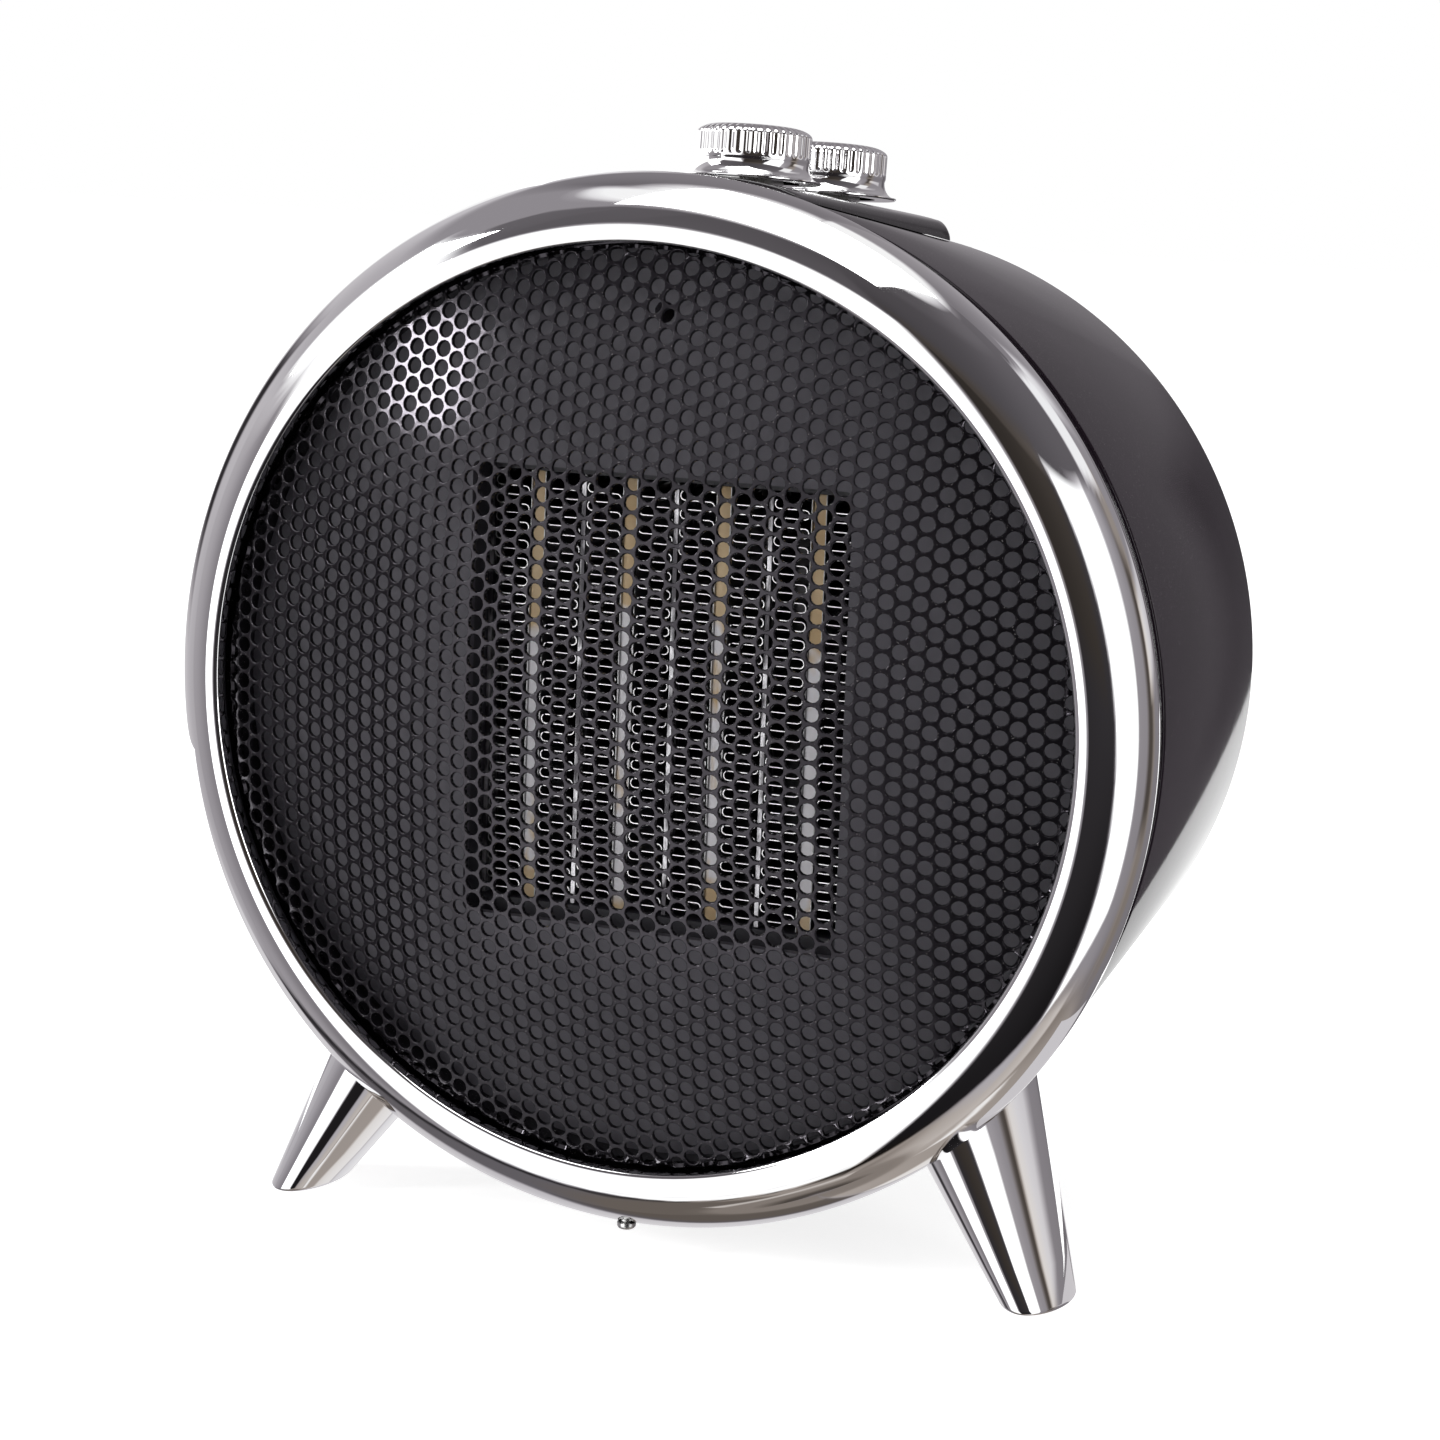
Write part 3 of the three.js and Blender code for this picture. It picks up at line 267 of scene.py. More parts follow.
# Legs
floor_gap = 8
leg_count = 3
leg_steps = 8
leg_top_inset = 60
foot_half_long = 14.3
foot_half_short = 7.6
foot_round = 1.2
foot_round_steps = 5
front_foot_inset = 26.1
front_foot_y = 16.8
front_leg_top_inset = 63.4
front_leg_top_y = 34.2
front_leg_top_half_width = 21.5
front_leg_top_half_depth = 31.2
rear_foot_inset = 33
rear_leg_top_inset = 36
rear_leg_top_half_width = 20
rear_leg_top_half_depth = 14

# Derived sizes
ring_crest_radius = ring_radius - ring_bulge
ring_mouth_radius = ring_crest_radius - ring_lip_width
grille_radius = ring_mouth_radius - grille_gap
grille_flange_y = plate_front_y - fit - grille_sheet
dome_centre_y = grille_edge_y + math.sqrt(grille_dome_radius ** 2 - grille_radius ** 2)
plate_back_y = plate_front_y + plate_thickness
plate_screw_circle = grille_radius - plate_screw_inset
plate_screw_seat_y = plate_back_y + plate_socket_depth - plate_socket_floor - fit
drum_front_radius = ring_radius - ring_skirt_draft
drum_rear_radius = drum_front_radius - drum_taper
drum_front_y = ring_skirt_length + groove_width
drum_cone_end_y = drum_rear_y - drum_edge_round
drum_slope = (drum_front_radius - drum_rear_radius) / (drum_cone_end_y - drum_front_y)
element_edge = strip_count * half_cell
duct_half_width = element_edge + element_plate_width / 2 + fit
duct_outer_half_width = duct_half_width + duct_wall
duct_outer_half_height = element_half_height + fit + insulator_height + fit + duct_wall
duct_screw_x = duct_outer_half_width + duct_flange_width / 2
duct_screw_z = duct_outer_half_height - duct_flange_width / 2
shroud_plate_y = duct_rear_y + fit
shroud_ear_reach = shroud_ear_offset + shroud_ear_radius
shroud_bore_radius = min(duct_half_width - shroud_bore_inset, duct_outer_half_height - shroud_ear_reach)
shroud_ear_circle = shroud_bore_radius + shroud_ear_offset
shroud_screw_length = duct_flange_thickness + shroud_plate_thickness + shroud_screw_spare
fan_tip_radius = shroud_bore_radius - fan_tip_gap
bracket_y = shroud_collar_end_y + fit
motor_front_y = bracket_y + bracket_thickness + fit
motor_rear_y = motor_front_y + motor_length
cover_radius = drum_rear_radius - cover_inset
cover_seat_y = drum_rear_y - cover_thickness - fit
cover_screw_circle = cover_radius - cover_screw_inset
gland_circle = (cover_radius + drum_rear_radius - drum_edge_round) / 2
pad_rear_y = drum_rear_y - pad_rear_inset
foot_drop = ring_radius + floor_gap
leg_top_drop = ring_radius - leg_top_inset


def drum_outer_radius(y):
    return drum_front_radius - (y - drum_front_y) * drum_slope


def pad_rise(y):
    share = (y - drum_front_y) / (pad_rear_y - drum_front_y)
    return pad_front_rise + (pad_rear_rise - pad_front_rise) * share


def pad_top_radius(y):
    return drum_outer_radius(y) + pad_rise(y)


def numbered(name, count):
    return [f"{name}_{number + 1}" for number in range(count)]


pad_fall = pad_top_radius(drum_front_y) - pad_top_radius(pad_rear_y)
control_tilt = math.atan(pad_fall / (pad_rear_y - drum_front_y))

# The heater's frame in the frame of the CAD
drum_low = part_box("drum_body")[0]
ring_low, ring_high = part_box("front_ring")
axis_spot = Vector((0, drum_low.y - drum_front_y * metre_share, (ring_low.z + ring_high.z) / 2))
to_frame = Matrix.Translation(axis_spot) @ Matrix.Scale(metre_share, 4)
scene = bpy.context.scene


# Node webs

def sum_of(operation, swapped=False):
    """A Python operator that adds a Math node."""
    def made(self, other):
        first, second = (other, self) if swapped else (self, other)
        return self.web.math(operation, first, second)
    return made


class Link:
    """A number or vector that a node gives. Sums and products of links add Math nodes."""

    def __init__(self, web, socket):
        self.web = web
        self.socket = socket

    __add__ = sum_of("ADD")
    __radd__ = sum_of("ADD", True)
    __sub__ = sum_of("SUBTRACT")
    __rsub__ = sum_of("SUBTRACT", True)
    __mul__ = sum_of("MULTIPLY")
    __rmul__ = sum_of("MULTIPLY", True)
    __truediv__ = sum_of("DIVIDE")
    __gt__ = sum_of("GREATER_THAN")


class Web:
    """A node tree that grows by one node for each call of node()."""

    def __init__(self, tree):
        self.tree = tree

    def node(self, kind, settings=None, values=None, output=0, **named):
        """Adds a node, its settings first. Sockets go by place, or by name with _ for a space."""
        made = self.tree.nodes.new(kind)
        for name, setting in (settings or {}).items():
            setattr(made, name, setting)
        spelt = {name.replace("_", " "): value for name, value in named.items()}
        for name, value in {**(values or {}), **spelt}.items():
            socket = self.pick(made.inputs, name)
            for one in value if isinstance(value, list) else [value]:
                if isinstance(one, Link):
                    self.tree.links.new(one.socket, socket)
                else:
                    socket.default_value = one
        return Link(self, self.pick(made.outputs, output)) if len(made.outputs) else None

    def pick(self, sockets, name):
        usable = [socket for socket in sockets if socket.enabled]
        if isinstance(name, int):
            return usable[name]
        return next(socket for socket in usable if socket.name == name)

    def math(self, operation, *numbers):
        return self.node("ShaderNodeMath", {"operation": operation}, dict(enumerate(numbers)))

    def mix(self, factor, first, second):
        """A colour between two colours."""
        first, second = [one if isinstance(one, Link) else (*one, 1) for one in (first, second)]
        return self.node("ShaderNodeMix", {"data_type": "RGBA"}, Factor=factor, A=first, B=second)

    def spot(self):
        return self.node("ShaderNodeTexCoord", output="Object")

    def parts(self, vector):
        made = self.node("ShaderNodeSeparateXYZ", Vector=vector)
        return [Link(self, socket) for socket in made.socket.node.outputs]

    def drawn_spot(self, *scales):
        return self.node("ShaderNodeMapping", Vector=self.spot(), Scale=scales)

    def noise(self, scale, detail=2, roughness=0.5, spot=None):
        values = {"Scale": scale, "Detail": detail, "Roughness": roughness}
        return self.node("ShaderNodeTexNoise", {}, values, Vector=spot or self.spot())

    def spread(self, value, low, high):
        """A value's range low to high, laid onto 0 to 1 and held inside it."""
        return self.node("ShaderNodeMapRange", {"clamp": True}, Value=value, From_Min=low, From_Max=high)

    def clouds(self, scale, detail, edge=0.3):
        return self.spread(self.noise(scale, detail), edge, 1 - edge)

    def bump(self, height, distance):
        return self.node("ShaderNodeBump", Height=height, Distance=distance, Strength=1)


def web_of(owner):
    """The emptied node web of a material or a world."""
    owner.use_nodes = True
    owner.node_tree.nodes.clear()
    return Web(owner.node_tree)


# Finishes

def finish(name, dress):
    """A material. dress() fills its node web and gives the main shader's values."""
    material = bpy.data.materials.new(name)
    web = web_of(material)
    shader = web.node("ShaderNodeBsdfPrincipled", values=dress(web))
    web.node("ShaderNodeOutputMaterial", Surface=shader)
    return material


def chrome(web):
    haze = web.spread(web.noise(900, 3, 0.7), 0.45, 0.75)
    return {
        "Base Color": web.mix(web.noise(14, 3), (0.86, 0.87, 0.9), (0.93, 0.92, 0.91)),
        "Metallic": 1,
        "Roughness": 0.025 + haze * 0.03,
        "Normal": web.bump(web.noise(22, 1), 0.0001),
    }


def gloss_coat(tone, plain_roughness, peel_scale, peel_height, shine_level=0.5, shine_tint=(1, 1, 1)):
    """Black gloss paint or plastic with the light orange peel of its surface."""
    def dress(web):
        shade = web.mix(web.clouds(30, 3), tone, tuple(1.35 * part for part in tone))
        speck = web.noise(2600, 0) > 0.79
        return {
            "Base Color": web.mix(speck * 0.5, shade, (0.2, 0.19, 0.19)),
            "Specular IOR Level": shine_level,
            "Specular Tint": (*shine_tint, 1),
            "Roughness": plain_roughness + web.noise(200, 3) * 0.05,
            "Normal": web.bump(web.noise(peel_scale, 1), peel_height),
        }
    return dress


def plastic(dark, light, grain_scale=1800, cloud_scale=80, smoothest=0.38, rougher=0.2, height=0.00005):
    def dress(web):
        grain = web.noise(grain_scale, 2, 0.6)
        return {
            "Base Color": web.mix(web.clouds(cloud_scale, 2), dark, light),
            "Roughness": smoothest + grain * rougher,
            "Normal": web.bump(grain, height),
        }
    return dress


def drawn_metal(dark, light, drawn_scale, drawn_share, cloud_scale, smoothest, rougher, height):
    def dress(web):
        drawn = web.noise(drawn_scale, 3, 0.6, web.drawn_spot(1, drawn_share, 1))
        return {
            "Base Color": web.mix(web.noise(cloud_scale, 2), dark, light),
            "Metallic": 1,
            "Roughness": smoothest + drawn * rougher,
            "Normal": web.bump(drawn, height),
        }
    return dress


def heating_ceramic(web):
    """Tan ceramic, silvered along the middle of its length by the electrode paste."""
    grain = web.noise(1500, 3, 0.6)
    tan = web.mix(web.clouds(60, 3, 0.35), (0.62, 0.44, 0.24), (0.78, 0.6, 0.38))
    height = web.parts(web.spot())[2] + web.noise(75, 2) * silver_wander - silver_wander / 2
    silvered = web.spread(height, *silver_top_range) * web.spread(height, *silver_low_range)
    streaks = web.spread(web.noise(160, 3, 0.6, web.drawn_spot(1, 1, 0.25)), 0.32, 0.42)
    return {
        "Base Color": web.mix(silvered * streaks, tan, (0.9, 0.88, 0.92)),
        "Roughness": 0.5 + grain * 0.2,
        "Normal": web.bump(grain, 0.00008),
    }


def fin_metal_painted_shade(web):
    """Folded fins, their own bright metal on the cut front edge, with painted shade behind it: the colour
    falls to near black in place of the dark duct and fan that the fins mirror.
    """
    front_y = axis_spot.y + element_front_y * metre_share
    # Painted shade: past a thin band at the cut front edge the fins' colour falls to near black, standing in
    # for the dark duct and fan that their sides mirror
    edge = web.spread(web.parts(web.spot())[1], front_y, front_y + fin_painted_shade_depth)
    bright = web.mix(web.clouds(140, 3, 0.35), (0.7, 0.68, 0.7), (0.95, 0.94, 0.95))
    return {
        "Base Color": web.mix(edge, bright, (0.1, 0.095, 0.105)),
        "Metallic": 1,
        "Roughness": 0.25 + web.noise(700, 3) * 0.2,
    }


def divider_metal(web):
    """The dull divider plates, with brighter scuffs along their length."""
    scuff = web.spread(web.noise(260, 3, 0.6, web.drawn_spot(1, 1, 0.3)), 0.45, 0.62)
    return {
        "Base Color": web.mix(scuff, (0.1, 0.096, 0.105), (0.85, 0.84, 0.87)),
        "Metallic": 1,
        "Roughness": 0.4 + web.noise(900, 2) * 0.2,
    }


satin = (2400, 45, 0.42, 0.16, 0.00006)
dresses = {
    "chrome": chrome,
    "grille_black": gloss_coat((0.0045, 0.004, 0.005), 0.08, 260, 0.00003, 0.32, (0.95, 0.88, 1)),
    "drum_black": gloss_coat((0.013, 0.0085, 0.013), 0.04, 90, 0.00002),
    "pad_black": gloss_coat((0.012, 0.01, 0.012), 0.03, 120, 0.00002),
    "dark_plastic": plastic((0.024, 0.022, 0.029), (0.036, 0.034, 0.043), *satin),
    "plate_plastic": plastic((0.074, 0.069, 0.085), (0.093, 0.087, 0.105), *satin),
    "brown_plastic": plastic((0.07, 0.038, 0.022), (0.11, 0.065, 0.04)),
    "pale_plastic": plastic((0.55, 0.53, 0.47), (0.66, 0.64, 0.58)),
    "mark_paint": plastic((0.7, 0.7, 0.68), (0.82, 0.82, 0.8)),
    "aluminium": drawn_metal((0.62, 0.62, 0.63), (0.8, 0.8, 0.8), 700, 0.06, 120, 0.24, 0.2, 0.00004),
    "steel": drawn_metal((0.5, 0.5, 0.5), (0.66, 0.66, 0.65), 900, 0.1, 150, 0.2, 0.16, 0.00003),
    "heating_ceramic": heating_ceramic,
    "fin_metal_painted_shade": fin_metal_painted_shade,
    "divider_metal": divider_metal,
}
finishes = {name: finish(name, dress) for name, dress in dresses.items()}


# Meshes

def mesh_of(name, points, faces):
    mesh = bpy.data.meshes.new(name)
    mesh.from_pydata(points, [], faces)
    return mesh


def tidied(mesh):
    """The mesh with its doubles merged, its faces outwards and its edges sharp by angle."""
    shape = bmesh.new()
    shape.from_mesh(mesh)
    bmesh.ops.remove_doubles(shape, verts=shape.verts, dist=weld_distance)
    bmesh.ops.dissolve_degenerate(shape, edges=shape.edges, dist=weld_distance / 2)
    bmesh.ops.recalc_face_normals(shape, faces=shape.faces)
    shape.to_mesh(mesh)
    shape.free()
    return smoothed(mesh)


def smoothed(mesh, angle=sharp_angle):
    mesh.shade_smooth()
    mesh.set_sharp_from_angle(angle=angle)
    return mesh


def quads(rows, size, start=0, wrapped=False):
    """Four-cornered faces between rows of points, each row a ring of the same size."""
    faces = []
    for row in range(rows if wrapped else rows - 1):
        here, there = start + row * size, start + (row + 1) % rows * size
        for spot in range(size):
            after = (spot + 1) % size
            faces.append((here + spot, here + after, there + after, there + spot))
    return faces


def off_axis(faces, outline):
    """The faces without those that lie on the axis, where the outline's radius is zero."""
    return [face for face in faces if any(outline[spot % len(outline)][0] for spot in face)]


def turned(outline, count=around_count):
    """A solid turned about the Y axis from a closed outline, whose corners may be softened."""
    outline = softened(outline)
    points = []
    for step in range(count):
        turn = 2 * math.pi * step / count
        points += [(radius * math.sin(turn), y, radius * math.cos(turn)) for radius, y in outline]
    faces = off_axis(quads(count, len(outline), wrapped=True), outline)
    return tidied(mesh_of("part", points, faces))


def lofted(rings):
    """A closed solid through rings of the same count, its ends filled."""
    count = len(rings[0])
    points = [point for ring in rings for point in ring]
    faces = [tuple(range(count)), tuple(range(len(points) - count, len(points)))]
    return tidied(mesh_of("part", points, faces + quads(len(rings), count)))


def softened(outline):
    """An outline whose corners with a third number give way to two edges, that far to each side."""
    points = []
    for index, (radius, y, *softness) in enumerate(outline):
        if not softness:
            points.append((radius, y))
            continue
        before, after = outline[index - 1], outline[(index + 1) % len(outline)]
        ends = [Vector(spot[:2]) - Vector((radius, y)) for spot in (before, after)]
        first, last = [end.normalized() * softness[0] for end in ends]
        middle = (first + last) * soft_middle_share
        points += [(radius + run.x, y + run.y) for run in (first, middle, last)]
    return points


def moved(mesh, matrix):
    mesh.transform(matrix)
    return mesh


def linked(name, data):
    obj = bpy.data.objects.new(name, data)
    scene.collection.objects.link(obj)
    return obj


def held(mesh):
    """A loose object that holds a mesh while a modifier works on it."""
    return linked("held", mesh)


def evaluated(obj):
    bpy.context.view_layer.update()
    graph = bpy.context.evaluated_depsgraph_get()
    return bpy.data.meshes.new_from_object(obj.evaluated_get(graph))


def let_go(*objects):
    for obj in objects:
        bpy.data.objects.remove(obj)


def carved(mesh, cutters):
    """The mesh with each cutter taken out of it."""
    base = held(mesh)
    tools = [held(cutter) for cutter in cutters]
    for tool in tools:
        modifier = base.modifiers.new("cut", "BOOLEAN")
        modifier.operation = "DIFFERENCE"
        modifier.solver = "MANIFOLD"
        modifier.object = tool
    result = evaluated(base)
    let_go(base, *tools)
    return smoothed(result)


def joined(meshes):
    shape = bmesh.new()
    for mesh in meshes:
        shape.from_mesh(mesh)
    whole = bpy.data.meshes.new("part")
    shape.to_mesh(whole)
    shape.free()
    return smoothed(whole)


def along_y(middle, radius, low, high, count=small_around_count):
    """A round bar along Y, its middle at (x, z)."""
    bar = turned([(0, low), (radius, low), (radius, high), (0, high)], count)
    return moved(bar, Matrix.Translation((middle[0], 0, middle[1])))


def around_axis(radius, count, start_turn=0):
    turns = [start_turn + 2 * math.pi * index / count for index in range(count)]
    return [(radius * math.sin(turn), radius * math.cos(turn)) for turn in turns]


def quarter(steps, first=0):
    """The sine and cosine of each step of a quarter turn."""
    turns = [math.pi / 2 * step / steps for step in range(first, steps + 1)]
    return [(math.sin(turn), math.cos(turn)) for turn in turns]


def set_in(name, mesh, slot, body="housing", replaced=(), look=None):
    """Puts a finished mesh into the frame of the CAD as a piece that rides on a body."""
    mesh.transform(to_frame)
    mesh.materials.clear()
    mesh.materials.append(finishes[look or slot])
    mesh.polygons.foreach_set("material_index", [0] * len(mesh.polygons))
    obj = linked(name, mesh)
    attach(obj, body)
    if replaced:
        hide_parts(*replaced)


# Geometry Nodes

def socket_kind(label, value):
    if isinstance(value, bpy.types.Object):
        return "NodeSocketObject"
    return "NodeSocketInt" if label == "Count" else "NodeSocketFloat"


def grown(name, sizes, grow, look, base=None):
    """A mesh that Geometry Nodes grow. grow() gets the web, the named inputs and the base geometry."""
    tree = bpy.data.node_groups.new(name, "GeometryNodeTree")
    add_socket = tree.interface.new_socket
    add_socket("Geometry", in_out="INPUT", socket_type="NodeSocketGeometry")
    for label, value in sizes.items():
        add_socket(label, in_out="INPUT", socket_type=socket_kind(label, value))
    add_socket("Geometry", in_out="OUTPUT", socket_type="NodeSocketGeometry")
    web = Web(tree)
    start = web.node("NodeGroupInput")
    inputs = {label: Link(web, web.pick(start.socket.node.outputs, label)) for label in sizes}
    whole = realized(web, grow(web, inputs, start))
    dressed = web.node("GeometryNodeSetMaterial", Geometry=whole, Material=finishes[look])
    web.node("NodeGroupOutput", Geometry=dressed)
    obj = held(base or bpy.data.meshes.new(name))
    modifier = obj.modifiers.new(name, "NODES")
    modifier.node_group = tree
    for item in tree.interface.items_tree:
        if item.in_out == "INPUT" and item.name in sizes:
            value = sizes[item.name]
            modifier[item.identifier] = float(value) if item.socket_type == "NodeSocketFloat" else value
    mesh = evaluated(obj)
    obj.modifiers.remove(modifier)
    let_go(obj)
    return mesh


def realized(web, shape):
    return web.node("GeometryNodeRealizeInstances", Geometry=shape)


def copies(web, points, source, **more):
    shape = web.node("GeometryNodeObjectInfo", Object=source, output="Geometry")
    return web.node("GeometryNodeInstanceOnPoints", Points=points, Instance=shape, **more)


def welded(web, shape, distance):
    return web.node("GeometryNodeMergeByDistance", Geometry=shape, Distance=distance)


def grow_repeats(web, inputs, start):
    step = web.node("ShaderNodeCombineXYZ", Z=inputs["Pitch"])
    spots = web.node("GeometryNodeMeshLine", Count=inputs["Count"], Offset=step)
    angle = web.node("GeometryNodeInputIndex") * inputs["Turn"]
    rotation = web.node("FunctionNodeAxisAngleToRotation", Axis=(0, 1, 0), Angle=angle)
    shell = realized(web, copies(web, spots, inputs["Unit"], Rotation=rotation))
    return welded(web, shell, inputs["Weld"])


def repeated(unit_mesh, count, look, pitch=0, turn=0):
    """Welded copies of a unit, each a pitch further up and a turn further round the Y axis."""
    unit = held(unit_mesh)
    sizes = {"Unit": unit, "Count": count, "Pitch": pitch, "Turn": turn, "Weld": weld_distance}
    mesh = grown("repeats", sizes, grow_repeats, look)
    let_go(unit)
    return mesh


# Front ring

def ring_arc(half_width, depth, steps):
    """The convex section from its outer edge to its crest."""
    points = []
    for sine, cosine in quarter(steps)[:-1]:
        across, along = cosine ** ring_round_power, sine ** ring_round_power
        points.append((ring_crest_radius + half_width * across, -depth * along))
    return [*points, (ring_crest_radius, -depth)]


def make_front_ring():
    rear_radius = ring_radius - ring_skirt_draft
    lip_end_y = ring_lip_drop + ring_lip_length - ring_crest_depth
    inner = ring_arc(ring_bulge - ring_wall, ring_crest_depth - ring_wall, ring_inner_steps)
    lip = [
        (ring_crest_radius - ring_lip_width * sine, -ring_crest_depth + ring_lip_drop * (1 - cosine))
        for sine, cosine in quarter(ring_lip_steps, 1)
    ]
    outline = [
        (rear_radius - ring_wall, ring_skirt_length),
        (rear_radius - fit, ring_skirt_length),
        (rear_radius, ring_skirt_length - fit),
        *ring_arc(ring_bulge, ring_crest_depth, ring_outer_steps),
        *lip,
        (ring_mouth_radius, lip_end_y),
        (ring_mouth_radius + ring_wall / 2, lip_end_y),
        *reversed(inner),
    ]
    set_in("front_ring_chrome", turned(outline), "chrome", replaced=["front_ring"])


# Grille

def grille_cell():
    """One six-sided cell of the flat sheet: its land, its hole with a broken edge, and its back."""
    count = grille_hole_sides
    corner_reach = grille_hole_pitch / math.sqrt(3)
    rings = [
        (6, corner_reach, 0),
        (count, grille_hole_radius + grille_edge_width, 0),
        (count, grille_hole_radius, grille_edge_depth),
        (count, grille_hole_radius, grille_sheet),
        (6, corner_reach, grille_sheet),
    ]
    points, starts = [], []
    for sides, reach, depth in rings:
        starts.append(len(points))
        points += [(x, depth, z) for z, x in around_axis(reach, sides)]
    faces = []
    for outer, inner, order in ((starts[0], starts[1], 1), (starts[4], starts[3], -1)):
        for side in range(6):
            edge = [inner + (2 * side + spot) % count for spot in range(3)]
            faces.append((outer + side, *edge, outer + (side + 1) % 6)[::order])
    faces += [(face[0], *face[:0:-1]) for face in quads(3, count, starts[1])]
    return mesh_of("cell", points, faces)


def grille_rim():
    inside, outside = grille_radius - grille_sheet, grille_radius + grille_flange_width
    start_y, end_y = grille_perforated_y - grille_sheet, grille_flange_y + grille_sheet
    outline = [
        (inside, start_y),
        (grille_radius, start_y),
        (grille_radius, grille_flange_y),
        (outside, grille_flange_y),
        (outside, end_y),
        (inside, end_y),
    ]
    return turned(outline, rim_around_count)


def grow_grille(web, inputs, start):
    """Cells on staggered points, cut off at the sheet's edge, then bent to the dome and its rolled rim."""
    pitch, reach = inputs["Hole pitch"], inputs["Sheet reach"]
    column_pitch = pitch * (math.sqrt(3) / 2)
    rows = web.math("CEIL", reach / pitch) * 2 + 5
    columns = web.math("CEIL", reach / column_pitch) * 2 + 3
    size_x, size_y = column_pitch * (columns - 1), pitch * (rows - 1)
    counts = {"Vertices X": columns, "Vertices Y": rows}
    grid = web.node("GeometryNodeMeshGrid", {}, counts, "Mesh", Size_X=size_x, Size_Y=size_y)
    x, y, z = web.parts(web.node("GeometryNodeInputPosition"))
    stagger = web.math("FLOORED_MODULO", web.math("ROUND", x / column_pitch), 2) * pitch / 2
    staggered = web.node("ShaderNodeCombineXYZ", X=x, Z=y + stagger)
    spots = web.node("GeometryNodeSetPosition", Geometry=grid, Position=staggered)
    far = flat_radius(web) > reach + pitch
    kept = web.node("GeometryNodeDeleteGeometry", {"domain": "POINT"}, Geometry=spots, Selection=far)
    sheet = realized(web, copies(web, kept, inputs["Cell"]))
    outside = flat_radius(web) > reach
    trimmed = web.node("GeometryNodeDeleteGeometry", {"domain": "FACE"}, Geometry=sheet, Selection=outside)
    bent = web.node("GeometryNodeSetPosition", Geometry=trimmed, Position=bent_place(web, inputs))
    rim = web.node("GeometryNodeObjectInfo", Object=inputs["Rim"], output="Geometry")
    return web.node("GeometryNodeJoinGeometry", Geometry=[welded(web, bent, inputs["Weld"]), rim])


def bent_place(web, inputs):
    """Where a point of the flat sheet goes: on the dome, round the bend or on the straight rim."""
    dome, bend, reach = inputs["Dome radius"], inputs["Bend radius"], inputs["Sheet reach"]
    bend_start = inputs["Bend start"]
    x, depth, z = web.parts(web.node("GeometryNodeInputPosition"))
    flat = web.math("MAXIMUM", flat_radius(web), least_radius)
    held_flat = web.math("MINIMUM", flat, reach)
    past = held_flat > bend_start
    on_dome = web.math("MINIMUM", held_flat, bend_start)
    start_tilt = web.math("ARCSINE", bend_start / dome)
    bent_tilt = web.math("MINIMUM", start_tilt + (held_flat - bend_start) / bend, math.pi / 2)
    tilt = (1 - past) * web.math("ARCSINE", on_dome / dome) + past * bent_tilt
    sine, cosine = web.math("SINE", tilt), web.math("COSINE", tilt)
    dome_y = inputs["Dome centre"] - web.math("SQRT", dome * dome - on_dome * on_dome)
    round_reach = past * bend * (sine - web.math("SINE", start_tilt))
    round_y = past * bend * (web.math("COSINE", start_tilt) - cosine)
    straight = web.math("MAXIMUM", held_flat - bend_start - bend * (math.pi / 2 - start_tilt), 0)
    radius = on_dome + round_reach - depth * sine
    y = dome_y + round_y + straight + depth * cosine
    return web.node("ShaderNodeCombineXYZ", X=x / flat * radius, Y=y, Z=z / flat * radius)


def flat_radius(web):
    x, depth, z = web.parts(web.node("GeometryNodeInputPosition"))
    return web.math("SQRT", x * x + z * z)


def with_flat_lands(mesh):
    """The mesh shaded so that large faces look flat and narrow ones round the edge between them."""
    holder = held(mesh)
    shading = holder.modifiers.new("flat lands", "WEIGHTED_NORMAL")
    shading.weight = 100
    shading.keep_sharp = True
    result = evaluated(holder)
    let_go(holder)
    return result


def make_grille():
    bend_start = (grille_radius - grille_bend_radius) / (1 - grille_bend_radius / grille_dome_radius)
    tilt = math.asin(bend_start / grille_dome_radius)
    bend_y = dome_centre_y - math.sqrt(grille_dome_radius ** 2 - bend_start ** 2)
    straight = grille_perforated_y - bend_y - grille_bend_radius * math.cos(tilt)
    cell, rim = held(grille_cell()), held(grille_rim())
    sizes = {
        "Hole pitch": grille_hole_pitch,
        "Sheet reach": bend_start + grille_bend_radius * (math.pi / 2 - tilt) + straight,
        "Dome radius": grille_dome_radius,
        "Dome centre": dome_centre_y,
        "Bend radius": grille_bend_radius,
        "Bend start": bend_start,
        "Weld": weld_distance,
        "Cell": cell,
        "Rim": rim,
    }
    mesh = smoothed(grown("perforated sheet", sizes, grow_grille, "grille_black"), grille_sharp_angle)
    let_go(cell, rim)
    set_in("grille_sheet", with_flat_lands(mesh), "grille_black", replaced=["grille"])


# Heating element

def rounded_ring(x, y, half_x, half_y, corner, steps):
    """The points of a rectangle with round corners."""
    ring = []
    for side_x, side_y, start in ((1, 1, 0), (-1, 1, 1), (-1, -1, 2), (1, -1, 3)):
        for step in range(steps + 1):
            turn = (start + step / steps) * math.pi / 2
            across = side_x * (half_x - corner) + corner * math.cos(turn)
            ring.append((x + across, y + side_y * (half_y - corner) + corner * math.sin(turn)))
    return ring


def strip_bar(x, half_width, inset=0):
    """An upright bar of the element's height with rounded long edges."""
    corner = min(strip_edge_round, half_width * strip_round_share)
    middle_y = element_front_y + element_depth / 2
    ring = rounded_ring(x, middle_y, half_width, element_depth / 2 - inset, corner, strip_round_steps)
    return lofted([[(x, y, z) for x, y in ring] for z in (-element_half_height, element_half_height)])


